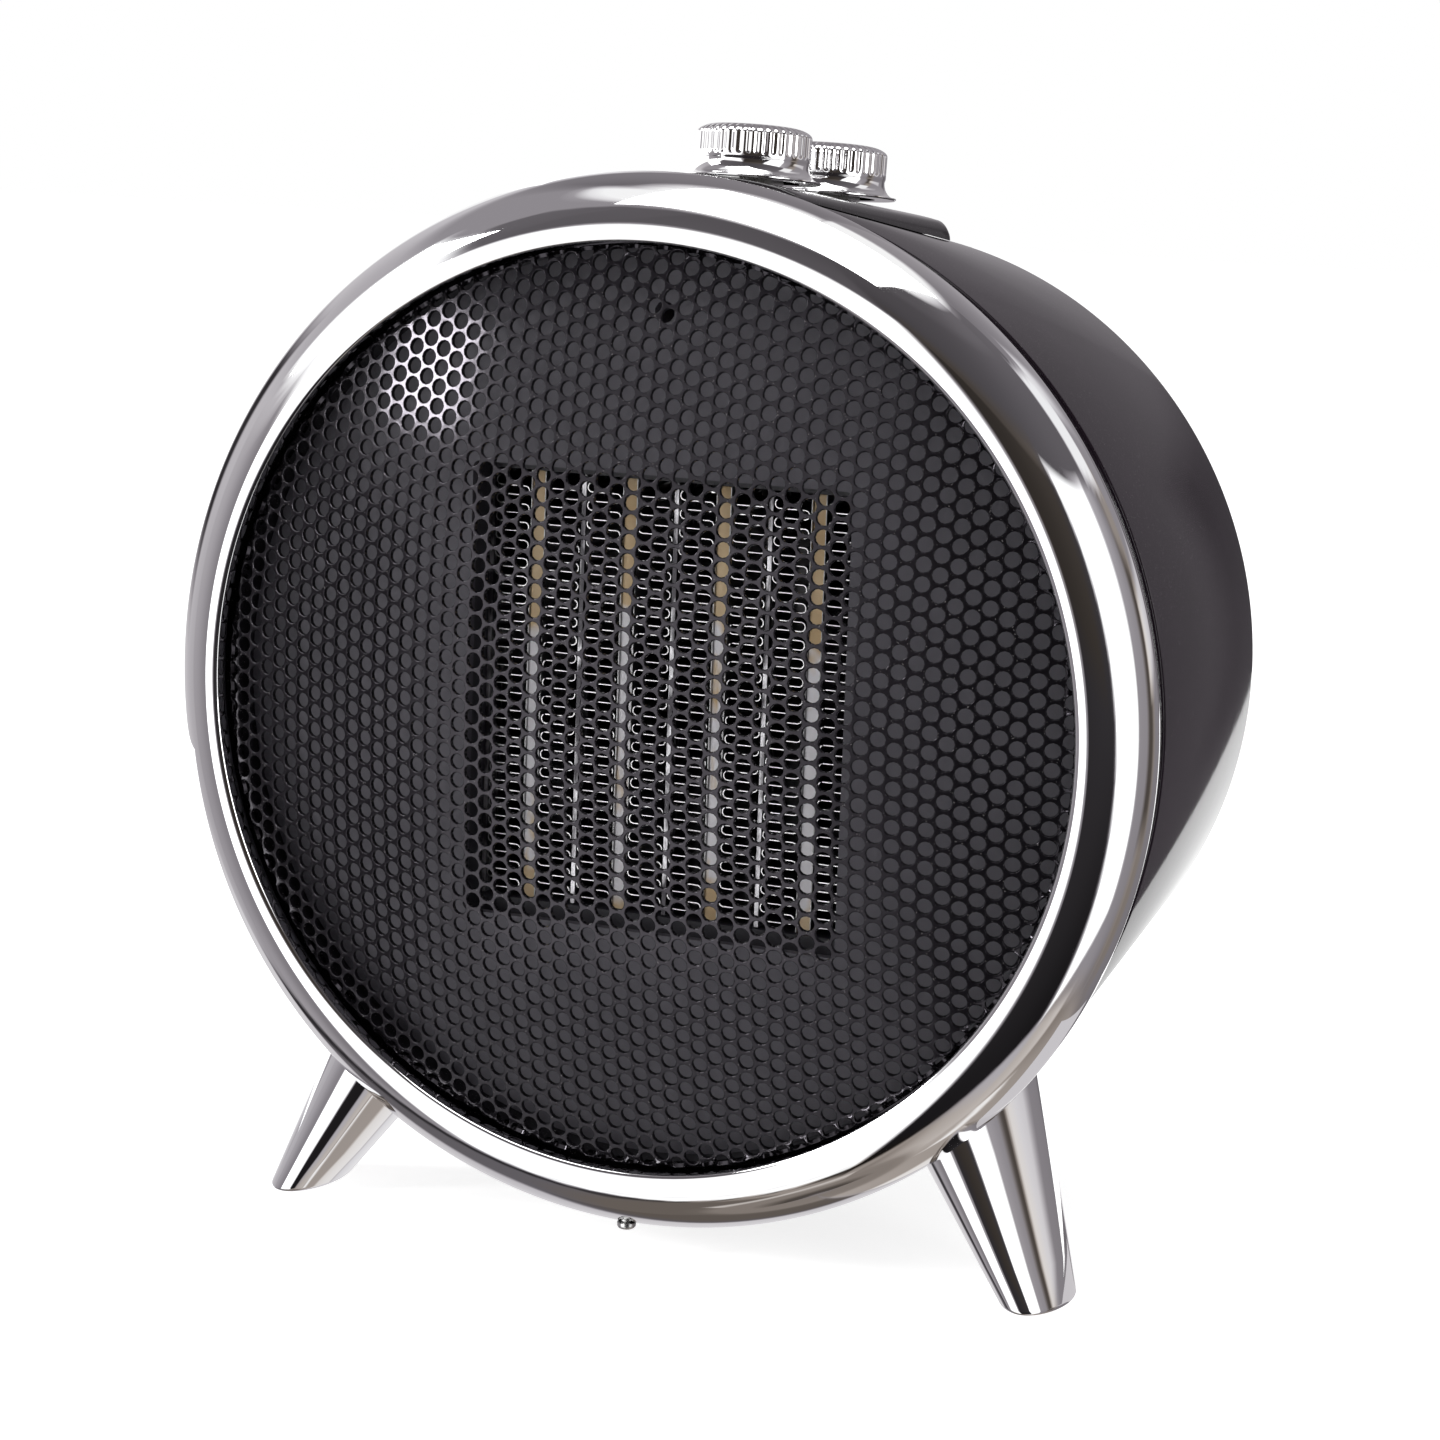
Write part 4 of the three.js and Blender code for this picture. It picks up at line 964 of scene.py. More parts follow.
def make_strips():
    """Each heating strip is a ceramic core between two metal cheeks with rounded front edges."""
    near, far = strip_core_width / 2 + strip_seam, strip_width / 2
    for index, name in enumerate(numbered("ceramic_strip", strip_count)):
        x = (2 * index + 1 - strip_count) * half_cell
        cheeks = [strip_bar(x + side * (near + far) / 2, (far - near) / 2) for side in (-1, 1)]
        core = strip_bar(x, strip_core_width / 2, strip_core_inset)
        set_in(name + "_core", core, "heating_ceramic", replaced=[name])
        set_in(name + "_cheeks", joined(cheeks), "aluminium")


def fin_unit(width):
    """Two level fins of a folded sheet and the turns at their ends."""
    half = fin_sheet / 2
    turn_radius = fin_pitch / 2
    left, right = turn_radius, width - turn_radius
    path = []
    for z, start, end, side in ((0, left, right, 1), (fin_pitch, right, left, -1)):
        path += [(start, z), (end, z)]
        for step in range(1, fin_turn_steps):
            turn = math.pi * step / fin_turn_steps
            bulge = side * (turn_radius - half) * math.sin(turn)
            path.append((end + bulge, z + turn_radius * (1 - math.cos(turn))))
    path.append((left, 2 * fin_pitch))
    runs = [Vector(after) - Vector(before) for before, after in zip(path, path[2:])]
    points = []
    for (x, z), run in zip(path, (Vector((1, 0)), *runs, Vector((-1, 0)))):
        across = Vector((-run.y, run.x)).normalized() * half
        for side, y in ((1, 0), (1, element_depth), (-1, element_depth), (-1, 0)):
            points.append((x + side * across.x, element_front_y + y, z + side * across.y))
    return mesh_of("fin", points, quads(len(path), 4))


def make_fins():
    unit_count = int((2 * element_half_height - fin_sheet) // (2 * fin_pitch))
    low_z = -fin_pitch * unit_count
    beside_plate = element_plate_width / 2 + fit
    beside_strip = strip_width / 2 + fit
    width = half_cell - beside_plate - beside_strip
    for index, name in enumerate(numbered("fin_column", 2 * strip_count)):
        mesh = repeated(fin_unit(width), unit_count, "fin_metal_painted_shade", pitch=2 * fin_pitch)
        left = (index - strip_count) * half_cell + (beside_strip if index % 2 else beside_plate)
        moved(mesh, Matrix.Translation((left, 0, low_z)))
        piece = f"folded_fins_{index + 1}"
        set_in(piece, smoothed(mesh), "aluminium", replaced=[name], look="fin_metal_painted_shade")


# Motor and fan

def blade_section(share):
    """A curved blade's section at a share of its length, kept inside its swept radius."""
    root_radius = fan_hub_radius - fan_hub_wall / 2
    radius = root_radius + (fan_tip_radius - root_radius) * share
    pitch = fan_root_pitch + (fan_tip_pitch - fan_root_pitch) * share
    chord = fan_blade_chord * math.sqrt(1 - (fan_tip_share * share) ** 6)
    upper, lower = [], []
    for step in range(fan_chord_steps + 1):
        across = 2 * step / fan_chord_steps - 1
        arch = fan_camber * (1 - across ** 2) - fan_camber / 2
        thick = fan_blade_sheet / 2 * (1 - fan_edge_share * across ** 4)
        upper.append((across * chord / 2, arch + thick))
        lower.append((across * chord / 2, arch - thick))
    middle_y = fan_front_y + fan_hub_length / 2
    ring = []
    for along, rise in upper + lower[::-1]:
        x = along * math.cos(pitch) - rise * math.sin(pitch)
        y = along * math.sin(pitch) + rise * math.cos(pitch)
        ring.append((x, middle_y + y, math.sqrt(max(radius ** 2 - x ** 2, 0))))
    return ring


def make_fan():
    blade = lofted([blade_section(step / fan_blade_steps) for step in range(fan_blade_steps + 1)])
    blades = repeated(blade, fan_blade_count, "pale_plastic", turn=2 * math.pi / fan_blade_count)
    hub = turned([
        (shaft_radius + fit, fan_front_y),
        (fan_hub_radius, fan_front_y, fan_hub_wall),
        (fan_hub_radius, fan_front_y + fan_hub_length),
        (shaft_radius + fit, fan_front_y + fan_hub_length),
    ], mid_around_count)
    set_in("fan_wheel", joined([hub, blades]), "pale_plastic", "fan_rotor", ["fan"])


def make_motor():
    """The motor's can with rolled edges and a ring of cooling holes in its rear end."""
    bore = shaft_radius + fit
    edge = motor_edge_round
    cap_end_y = motor_rear_y + motor_cap_length
    can = turned([
        (bore, bracket_y),
        (motor_nose_radius, bracket_y),
        (motor_nose_radius, motor_front_y),
        (motor_radius, motor_front_y, edge),
        (motor_radius, motor_rear_y, edge),
        (motor_cap_radius, motor_rear_y),
        (motor_cap_radius, cap_end_y - edge / 2),
        (motor_cap_radius - edge / 2, cap_end_y),
        (bore, cap_end_y),
    ], mid_around_count)
    vents = [
        along_y(place, motor_vent_radius, motor_rear_y - motor_vent_depth, motor_rear_y + overrun)
        for place in around_axis((motor_radius + motor_cap_radius) / 2, motor_vent_count)
    ]
    set_in("motor_can", carved(can, vents), "steel", replaced=["motor"])


# Drum body, rear cover and cord gland

def edge_arc(radius):
    centre = drum_rear_radius - drum_edge_round
    arc = quarter(drum_edge_steps)
    return [(centre + radius * cosine, drum_cone_end_y + radius * sine) for sine, cosine in arc]


def control_frame(y):
    turn = Matrix.Rotation(math.pi / 2 - control_tilt, 4, "X")
    return Matrix.Translation((0, y, pad_top_radius(y))) @ turn


def control_holes():
    bars = [along_y((0, 0), bush_radius + fit, -knob_height, knob_height) for y in knob_places.values()]
    return [moved(bar, control_frame(y)) for bar, y in zip(bars, knob_places.values())]


def cover_screw_places():
    return around_axis(cover_screw_circle, cover_screw_count, math.pi / cover_screw_count)


def make_drum():
    wall_y = drum_rear_y - drum_wall
    ledge_radius = cover_radius - cover_ledge
    seat_radius = cover_radius + fit
    lip = drum_lip_round
    soft_lip = lip * soft_middle_share
    outline = [
        (drum_front_radius - drum_wall, drum_front_y),
        (drum_front_radius - lip, drum_front_y),
        (drum_front_radius - soft_lip, drum_front_y + soft_lip),
        (drum_outer_radius(drum_front_y + lip), drum_front_y + lip),
        *edge_arc(drum_edge_round),
        (seat_radius + lip, drum_rear_y),
        (seat_radius, drum_rear_y - lip),
        (seat_radius, cover_seat_y),
        (ledge_radius, cover_seat_y),
        (ledge_radius, cover_seat_y - drum_wall),
        (seat_radius + drum_wall, cover_seat_y - drum_wall),
        (seat_radius + drum_wall, wall_y),
        *reversed(edge_arc(drum_edge_round - drum_wall)),
    ]
    gland_hole = along_y((0, -gland_circle), gland_radius + fit / 2, wall_y - overrun, drum_rear_y + overrun)
    shell = carved(turned(outline), [gland_hole, *control_holes()])
    post_y = plate_back_y + plate_socket_depth + fit
    boss_y = cover_seat_y - cover_boss_length
    plate_places = around_axis(plate_screw_circle, plate_screw_count)
    posts = [along_y(place, drum_post_radius, post_y, post_y + drum_post_length) for place in plate_places]
    bosses = [along_y(place, cover_boss_radius, boss_y, cover_seat_y) for place in cover_screw_places()]
    set_in("drum_shell", joined([shell, *posts, *bosses]), "drum_black", replaced=["drum_body"])


def grow_cover(web, inputs, start):
    """Rows of slots with round ends, cut from the disc of the base mesh."""
    pitch, rows, half = inputs["Slot pitch"], inputs["Count"], inputs["Slot half height"]
    low = web.node("ShaderNodeCombineXYZ", Z=(1 - rows) * pitch / 2)
    step = web.node("ShaderNodeCombineXYZ", Z=pitch)
    line = web.node("GeometryNodeMeshLine", Count=rows, Start_Location=low, Offset=step)
    body = start
    for side in (1, -1):
        x, y, z = web.parts(web.node("GeometryNodeInputPosition"))
        far_z = web.math("ABSOLUTE", web.math("ROUND", z / pitch) * pitch) + half
        end = web.math("SQRT", inputs["Reach"] * inputs["Reach"] - far_z * far_z) - half
        outer = x * side > 0
        shift = side * (outer * end + (1 - outer) * (inputs["Web"] / 2 + half))
        offset = web.node("ShaderNodeCombineXYZ", X=shift)
        bars = realized(web, copies(web, line, inputs["Slot end"]))
        cutters = web.node("GeometryNodeSetPosition", Geometry=bars, Offset=offset)
        settings = {"operation": "DIFFERENCE", "solver": "MANIFOLD"}
        body = web.node("GeometryNodeMeshBoolean", settings, Mesh_1=body, Mesh_2=cutters)
    return body


def make_rear_cover():
    front_y = drum_rear_y - cover_thickness
    disc = turned([
        (0, front_y),
        (cover_radius, front_y),
        (cover_radius, drum_rear_y, cover_edge_round),
        (0, drum_rear_y),
    ], mid_around_count)
    # The slot's bar has no point on its middle line, so that its halves can be drawn apart
    round_bar = around_axis(slot_height / 2, small_around_count, math.pi / small_around_count)
    slot_ends = (cover_seat_y - overrun, drum_rear_y + overrun)
    slot_end = held(lofted([[(x, y, z) for x, z in round_bar] for y in slot_ends]))
    reach = cover_radius - slot_rim_inset
    sizes = {
        "Slot pitch": slot_pitch,
        "Count": 2 * int((reach - slot_pitch) // slot_pitch) + 1,
        "Slot half height": slot_height / 2,
        "Reach": reach,
        "Web": slot_web,
        "Slot end": slot_end,
    }
    mesh = grown("slotted cover", sizes, grow_cover, "drum_black", disc)
    let_go(slot_end)
    low_y, high_y = front_y - overrun, drum_rear_y + overrun
    holes = [along_y(place, screw_radius + fit, low_y, high_y) for place in cover_screw_places()]
    set_in("slotted_rear_cover", carved(mesh, holes), "drum_black", replaced=["rear_cover"])


def make_cord_gland():
    wall_y = drum_rear_y - gland_length + gland_flange_thickness
    seat_y = drum_rear_y + fit
    end_y = seat_y + gland_flange_thickness
    gland = turned([
        (gland_bore_radius, wall_y),
        (gland_radius, wall_y),
        (gland_radius, seat_y),
        (gland_flange_radius, seat_y),
        (gland_flange_radius, end_y, gland_edge_round),
        (gland_bore_radius, end_y, gland_edge_round),
    ], mid_around_count)
    moved(gland, Matrix.Translation((0, 0, -gland_circle)))
    set_in("cord_gland_bush", gland, "dark_plastic", replaced=["cord_gland"])


# Control pad

def pad_ring(inset):
    """The pad's plan drawn in by an inset, the same count of points each time."""
    half = max(pad_half_width - inset, 0)
    corner = min(max(pad_corner - inset, 0), half)
    front, bend = drum_front_y + inset, pad_rear_y - inset - corner
    turns = quarter(pad_corner_steps)
    arc = [(half - corner + corner * cosine, bend + corner * sine) for sine, cosine in turns]
    shares = [step / pad_side_steps for step in range(1, pad_side_steps + 1)]
    return [
        *arc,
        *[(-x, y) for x, y in reversed(arc)],
        *[(-half, bend + (front - bend) * share) for share in shares],
        *[(half * (2 * step / pad_front_steps - 1), front) for step in range(1, pad_front_steps + 1)],
        *[(half, front + (bend - front) * share) for share in shares[:-1]],
    ]


def pad_height(x, y):
    """The share of its full rise that the pad has at a place of its plan."""
    side = (pad_half_width - abs(x)) / pad_side_round
    rear = (pad_rear_y - y) / pad_rear_round
    front = (y - drum_front_y) / pad_front_round
    corner_x = abs(x) - (pad_half_width - pad_corner)
    corner_y = y - (pad_rear_y - pad_corner)
    if corner_x > 0 and corner_y > 0:
        reach = math.hypot(corner_x, corner_y)
        rounding = pad_side_round + (pad_rear_round - pad_side_round) * corner_y / reach
        side = rear = (pad_corner - reach) / rounding
    shares = [min(max(one, 0), 1) for one in (side, rear, front)]
    return min(math.sqrt(1 - (1 - share) ** 2) for share in shares)


def make_control_pad():
    insets = [*pad_insets, pad_side_round]
    while insets[-1] < pad_half_width - pad_inset_step:
        insets.append(insets[-1] + pad_inset_step)
    insets.append(pad_half_width - pad_core_half_width)
    rings = [pad_ring(inset) for inset in insets]
    count, size = len(rings), len(rings[0])
    points, faces = [], []
    for layer in range(2):
        for x, y in sum(rings, []):
            rise = 0 if layer else (pad_rise(y) - fit) * pad_height(x, y)
            points.append((x, y, math.sqrt((drum_outer_radius(y) + fit + rise) ** 2 - x ** 2)))
        end = (layer + 1) * count * size
        faces += quads(count, size, layer * count * size)
        faces.append(tuple(range(end - size, end)))
    pad = carved(tidied(mesh_of("part", points, faces)), control_holes())
    set_in("control_pad_cap", pad, "pad_black", replaced=["control_pad"])


# Knobs

def knob_outline():
    """The knob's section as (radius, height, flute share) points, from its rim round to its cavity."""
    lip_y = knob_lift + knob_skirt_lip
    neck_y = knob_lift + knob_neck_height
    straight_end = knob_height - knob_shoulder_height
    skirt_radius = knob_skirt_radius - fit / 2
    inside = knob_neck_radius - knob_wall
    points = [
        (inside, knob_lift, 0),
        (knob_skirt_radius - fit, knob_lift, 0),
        (knob_skirt_radius, knob_lift + fit, 0),
        (knob_skirt_radius, lip_y, 0),
    ]
    for sine, cosine in quarter(knob_skirt_steps, 1):
        radius = skirt_radius - (skirt_radius - knob_neck_radius) * sine
        points.append((radius, lip_y + (neck_y - lip_y) * (1 - cosine), 0))
    for step in range(1, knob_side_steps + 1):
        height = neck_y + (straight_end - neck_y) * step / knob_side_steps
        share = min((height - neck_y) / (knob_flute_start - neck_y), 1)
        swell = math.sin(share * math.pi / 2)
        points.append((knob_neck_radius + (knob_radius - knob_neck_radius) * swell, height, 1))
    for step, (sine, cosine) in enumerate(quarter(knob_shoulder_steps, 1), 1):
        radius = knob_radius - knob_shoulder_width * (1 - cosine)
        fade = 1 - (step / knob_shoulder_steps) ** 6
        points.append((radius, straight_end + knob_shoulder_height * sine, fade))
    rim_radius = knob_radius - knob_shoulder_width
    dish_y, roof = knob_height - knob_dish, knob_height - knob_roof
    hub_end = bush_rise + running_gap
    return [
        *points,
        (rim_radius - knob_wall / 2, knob_height - fit / 4, 0),
        (rim_radius - knob_wall, dish_y, 0),
        *[(rim_radius * share, dish_y, 0) for share in knob_top_shares],
        (0, roof, 0),
        (spindle_radius, roof, 0),
        (spindle_radius, hub_end, 0),
        (knob_hub_radius, hub_end, 0),
        (knob_hub_radius, roof, 0),
        (inside, roof, 0),
    ]


def flute_depth(across, height, share):
    """How deep the flute is at a place, its lower end round."""
    half = knob_flute_width / 2
    below = max(knob_flute_start + half - height, 0)
    spread = math.hypot(across, below) / half
    return knob_flute_depth * share * math.cos(math.pi / 2 * min(spread, 1)) ** 2


def knob_slice():
    """One flute and half of the lands beside it, from the knob's axis out."""
    outline = knob_outline()
    sector = 2 * math.pi / knob_flute_count
    points = []
    for step in range(knob_flute_steps + 1):
        turn = sector * (step / knob_flute_steps - 1 / 2)
        for radius, height, share in outline:
            sunk = radius - flute_depth(turn * radius, height, share)
            points.append((sunk * math.sin(turn), height, sunk * math.cos(turn)))
    faces = off_axis(quads(knob_flute_steps + 1, len(outline)), outline)
    return mesh_of("slice", points, faces)


def mark_bar(far, length, half, low, high):
    """The pointer mark, a bar with round ends on the knob's top."""
    ring = rounded_ring(0, far - length / 2, half, length / 2, half, knob_mark_steps)
    return lofted([[(x, height, z) for x, z in ring] for height in (low, high)])


def make_knobs():
    bodies = {"thermostat": "thermostat_dial", "mode_switch": "mode_dial"}
    floor_height = knob_height - knob_dish - knob_mark_depth
    far, half = knob_radius - knob_shoulder_width - knob_wall, knob_mark_width / 2
    mark_size = (far - fit / 3, knob_mark_length - fit, half - fit / 3)
    for name, y in knob_places.items():
        slices = repeated(knob_slice(), knob_flute_count, "chrome", turn=2 * math.pi / knob_flute_count)
        recess = mark_bar(far, knob_mark_length, half, floor_height, knob_height + overrun)
        knob = moved(carved(tidied(slices), [recess]), control_frame(y))
        set_in(name + "_knob_chrome", knob, "chrome", bodies[name], [name + "_knob"])
        mark = moved(mark_bar(*mark_size, floor_height + fit / 20, floor_height + fit), control_frame(y))
        set_in(name + "_knob_mark", mark, "pale_plastic", bodies[name], look="mark_paint")


# Legs

def leg_ring(foot, top, rise, inset, side):
    """The oval section of a leg at its rise over the foot, between the foot's section and the top's."""
    share = rise / (foot_drop - leg_top_drop)
    x, y, half_x, half_y = [low + (high - low) * share for low, high in zip(foot, top)]
    return [
        (side * (x + (half_x - inset) * cosine), y + (half_y - inset) * sine, rise - foot_drop)
        for sine, cosine in around_axis(1, mid_around_count)
    ]


def make_leg(name, foot, top, side=1):
    reach = foot_drop - leg_top_drop - foot_round
    turns = quarter(foot_round_steps)
    heights = [(foot_round * (1 - cosine), foot_round * (1 - sine)) for sine, cosine in turns]
    heights += [(foot_round + reach * step / leg_steps, 0) for step in range(1, leg_steps + 1)]
    leg = lofted([leg_ring(foot, top, rise, inset, side) for rise, inset in heights])
    envelope = turned([
        (0, -ring_crest_depth),
        (ring_radius + fit, -ring_crest_depth),
        (ring_radius + fit, 0),
        (ring_radius - ring_skirt_draft + fit, ring_skirt_length),
        (drum_front_radius + fit, drum_front_y),
        (drum_rear_radius + fit, drum_cone_end_y),
        (0, drum_cone_end_y),
    ])
    set_in(name + "_chrome", carved(leg, [envelope]), "chrome", replaced=[name])


def make_legs():
    foot = (ring_radius - front_foot_inset, front_foot_y, foot_half_short, foot_half_long)
    top_x = ring_radius - front_leg_top_inset
    top = (top_x, front_leg_top_y, front_leg_top_half_width, front_leg_top_half_depth)
    make_leg("front_leg_left", foot, top, -1)
    make_leg("front_leg_right", foot, top)
    rear_foot = (0, drum_rear_y - rear_foot_inset, foot_half_long, foot_half_short)
    rear_top = (0, drum_rear_y - rear_leg_top_inset, rear_leg_top_half_width, rear_leg_top_half_depth)
    make_leg("rear_leg", rear_foot, rear_top)


# Screws

def screw_head():
    """A pan head with a cross recess, its seat at zero and its top along Z."""
    flat, side = screw_flat_share, screw_side_share
    dome = [
        (screw_head_radius * (flat + (1 - flat) * cosine), screw_head_height * (side + (1 - side) * sine))
        for sine, cosine in quarter(screw_dome_steps)
    ]
    head = turned([(0, 0), (screw_head_radius, 0), *dome, (0, screw_head_height)], small_around_count)
    half, reach = screw_recess_width / 2, screw_recess_length / 2
    depth_range = (screw_head_height - screw_recess_depth, screw_head_height + overrun)
    corners = ((1, 1), (-1, 1), (-1, -1), (1, -1))
    bars = [
        lofted([[(x * half_x, y, z * half_z) for x, z in corners] for y in depth_range])
        for half_x, half_z in ((half, reach), (reach, half))
    ]
    return moved(carved(head, bars), Matrix.Rotation(math.pi / 2, 4, "X"))


def screw_shank():
    """A threaded shank one unit long below its head's seat, drawn out to each screw's length."""
    core = screw_radius * thread_core_share
    outline = [(0, 0)]
    for ridge in range(thread_count):
        y = -ridge / thread_count * thread_share
        outline += [(core, y - thread_root_share), (screw_radius, y - thread_crest_share)]
    outline += [(core, -thread_share), (0, -1)]
    return moved(turned(outline, small_around_count // 2), Matrix.Rotation(math.pi / 2, 4, "X"))


def grow_screws(web, inputs, start):
    """A head and a shank on each point, along the point's facing, the shank as long as the point says."""
    facing, reach = [
        web.node("GeometryNodeInputNamedAttribute", {"data_type": kind}, output="Attribute", Name=name)
        for kind, name in (("FLOAT_VECTOR", "facing"), ("FLOAT", "reach"))
    ]
    rotation = web.node("FunctionNodeAlignRotationToVector", {"axis": "Z"}, Vector=facing)
    drawn = web.node("ShaderNodeCombineXYZ", X=1, Y=1, Z=reach)
    heads = copies(web, start, inputs["Head"], Rotation=rotation)
    shanks = copies(web, start, inputs["Shank"], Rotation=rotation, Scale=drawn)
    return web.node("GeometryNodeJoinGeometry", Geometry=[heads, shanks])


def make_screws(name, rows, replaced=()):
    """Screws in one mesh: each row is a seat, the direction that its head faces and its length."""
    seats, facings, lengths = zip(*rows)
    base = mesh_of(name, seats, [])
    facing = base.attributes.new("facing", "FLOAT_VECTOR", "POINT")
    facing.data.foreach_set("vector", [part for one in facings for part in one])
    reach = base.attributes.new("reach", "FLOAT", "POINT")
    reach.data.foreach_set("value", [float(length) for length in lengths])
    head, shank = held(screw_head()), held(screw_shank())
    mesh = grown("screws", {"Head": head, "Shank": shank}, grow_screws, "steel", base)
    let_go(head, shank)
    set_in(name, smoothed(mesh), "steel", replaced=replaced)


def screw_rows(places, y, direction, length):
    """A row for each (x, z) place. The heads face the front at -1 and the rear at 1."""
    return [((x, y, z), (0, direction, 0), length) for x, z in places]


def make_all_screws():
    plate_places = around_axis(plate_screw_circle, plate_screw_count)
    plate_rows = screw_rows(plate_places, plate_screw_seat_y, -1, screw_length)
    make_screws("plate_screws", plate_rows, numbered("plate_screw", plate_screw_count))
    cover_rows = screw_rows(cover_screw_places(), drum_rear_y + fit / 3, 1, cover_boss_length)
    make_screws("cover_screws", cover_rows, numbered("cover_screw", cover_screw_count))
    ring_seat = (0, ring_screw_y, -(ring_radius - ring_wall / 2 + fit))
    make_screws("ring_pan_screw", [(ring_seat, (0, 0, -1), ring_screw_length)], ["ring_screw"])
    corners = [(x * duct_screw_x, z * duct_screw_z) for x in (1, -1) for z in (1, -1)]
    ears = around_axis(shroud_ear_circle, bracket_arm_count)
    motor_places = around_axis(motor_screw_circle, 2, math.pi / 2)
    shroud_y = shroud_plate_y + shroud_plate_thickness
    make_screws("inner_screws", [
        *screw_rows(corners, duct_flange_y + duct_flange_thickness, 1, short_screw_length),
        *screw_rows(corners, shroud_y, 1, shroud_screw_length),
        *screw_rows(ears, bracket_y + bracket_thickness, 1, bracket_screw_length),
        *screw_rows(motor_places, bracket_y, -1, short_screw_length),
    ])


# CAD nodes that stay, by their look

kept_looks = {
    "plate_plastic": ["front_plate"],
    "dark_plastic": ["upper_insulator", "lower_insulator", "air_duct", "fan_shroud"],
    "pale_plastic": ["terminal_block"],
    "brown_plastic": ["thermal_cutout", *[control + "_body" for control in knob_places]],
    "divider_metal": numbered("element_plate", strip_count + 1),
    "steel": [
        "terminal_tab_left", "terminal_tab_right", "motor_bracket", "motor_shaft",
        *numbered("leg_screw", leg_count),
        *[control + part for control in knob_places for part in ("_spindle", "_nut")],
    ],
}


def dress_kept_nodes():
    for look, names in kept_looks.items():
        for slot in [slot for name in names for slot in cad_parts[name].material_slots]:
            slot.material = finishes[look]


# Camera, light and floor

camera_azimuth = math.radians(23.38)
camera_elevation = math.radians(9.96)
camera_roll = math.radians(2.05)
camera_distance = 897.3
camera_aim = (17.72, 0, -0.86)
camera_lens = 100.35
camera_sensor = 36
camera_clip_start = 0.05


fill_level = 0.35
floor_lift = 0.8
floor_reach = 4
sky_distance = 3
sky_base = 0.3
sky_columns = 180
sky_rows = 90
region_blend = 3
warm_soft = 8
warm_red_share = 0.1
purple_share = 0.09
warm_blue_share = 0.22
# Lamps: azimuth, elevation, distance, width, height, power
lamps = {
    "window_lamp": (-46.5, 16, 2.4, 0.33, 0.34, 15),
    "key_lamp": (-70, 28, 2.4, 1.0, 0.9, 28),
    "top_lamp": (-20, 80, 2.2, 1.6, 1.6, 26),
    "right_lamp": (68, 12, 2.6, 0.9, 1.6, 14),
}
# Cards that only shine in the drum, the legs and the knobs: level, axis across, place on it, two ranges
cards = {
    "mirrored_table_behind": (1.5, "Z", 0.0003, (-0.5, 0.165), (0.07, 0.9)),
    "mirrored_table_beside": (0.62, "Z", 0.0003, (0.1, 0.16), (-0.04, 0.03)),
    "knob_reflector": (1.3, "X", -0.055, (-0.03, 0.085), (0.236, 0.266)),
}


def rectangle(az_1, el_1, az_2, el_2):
    return (az_1, el_1), (az_2, el_1), (az_2, el_2), (az_1, el_2)


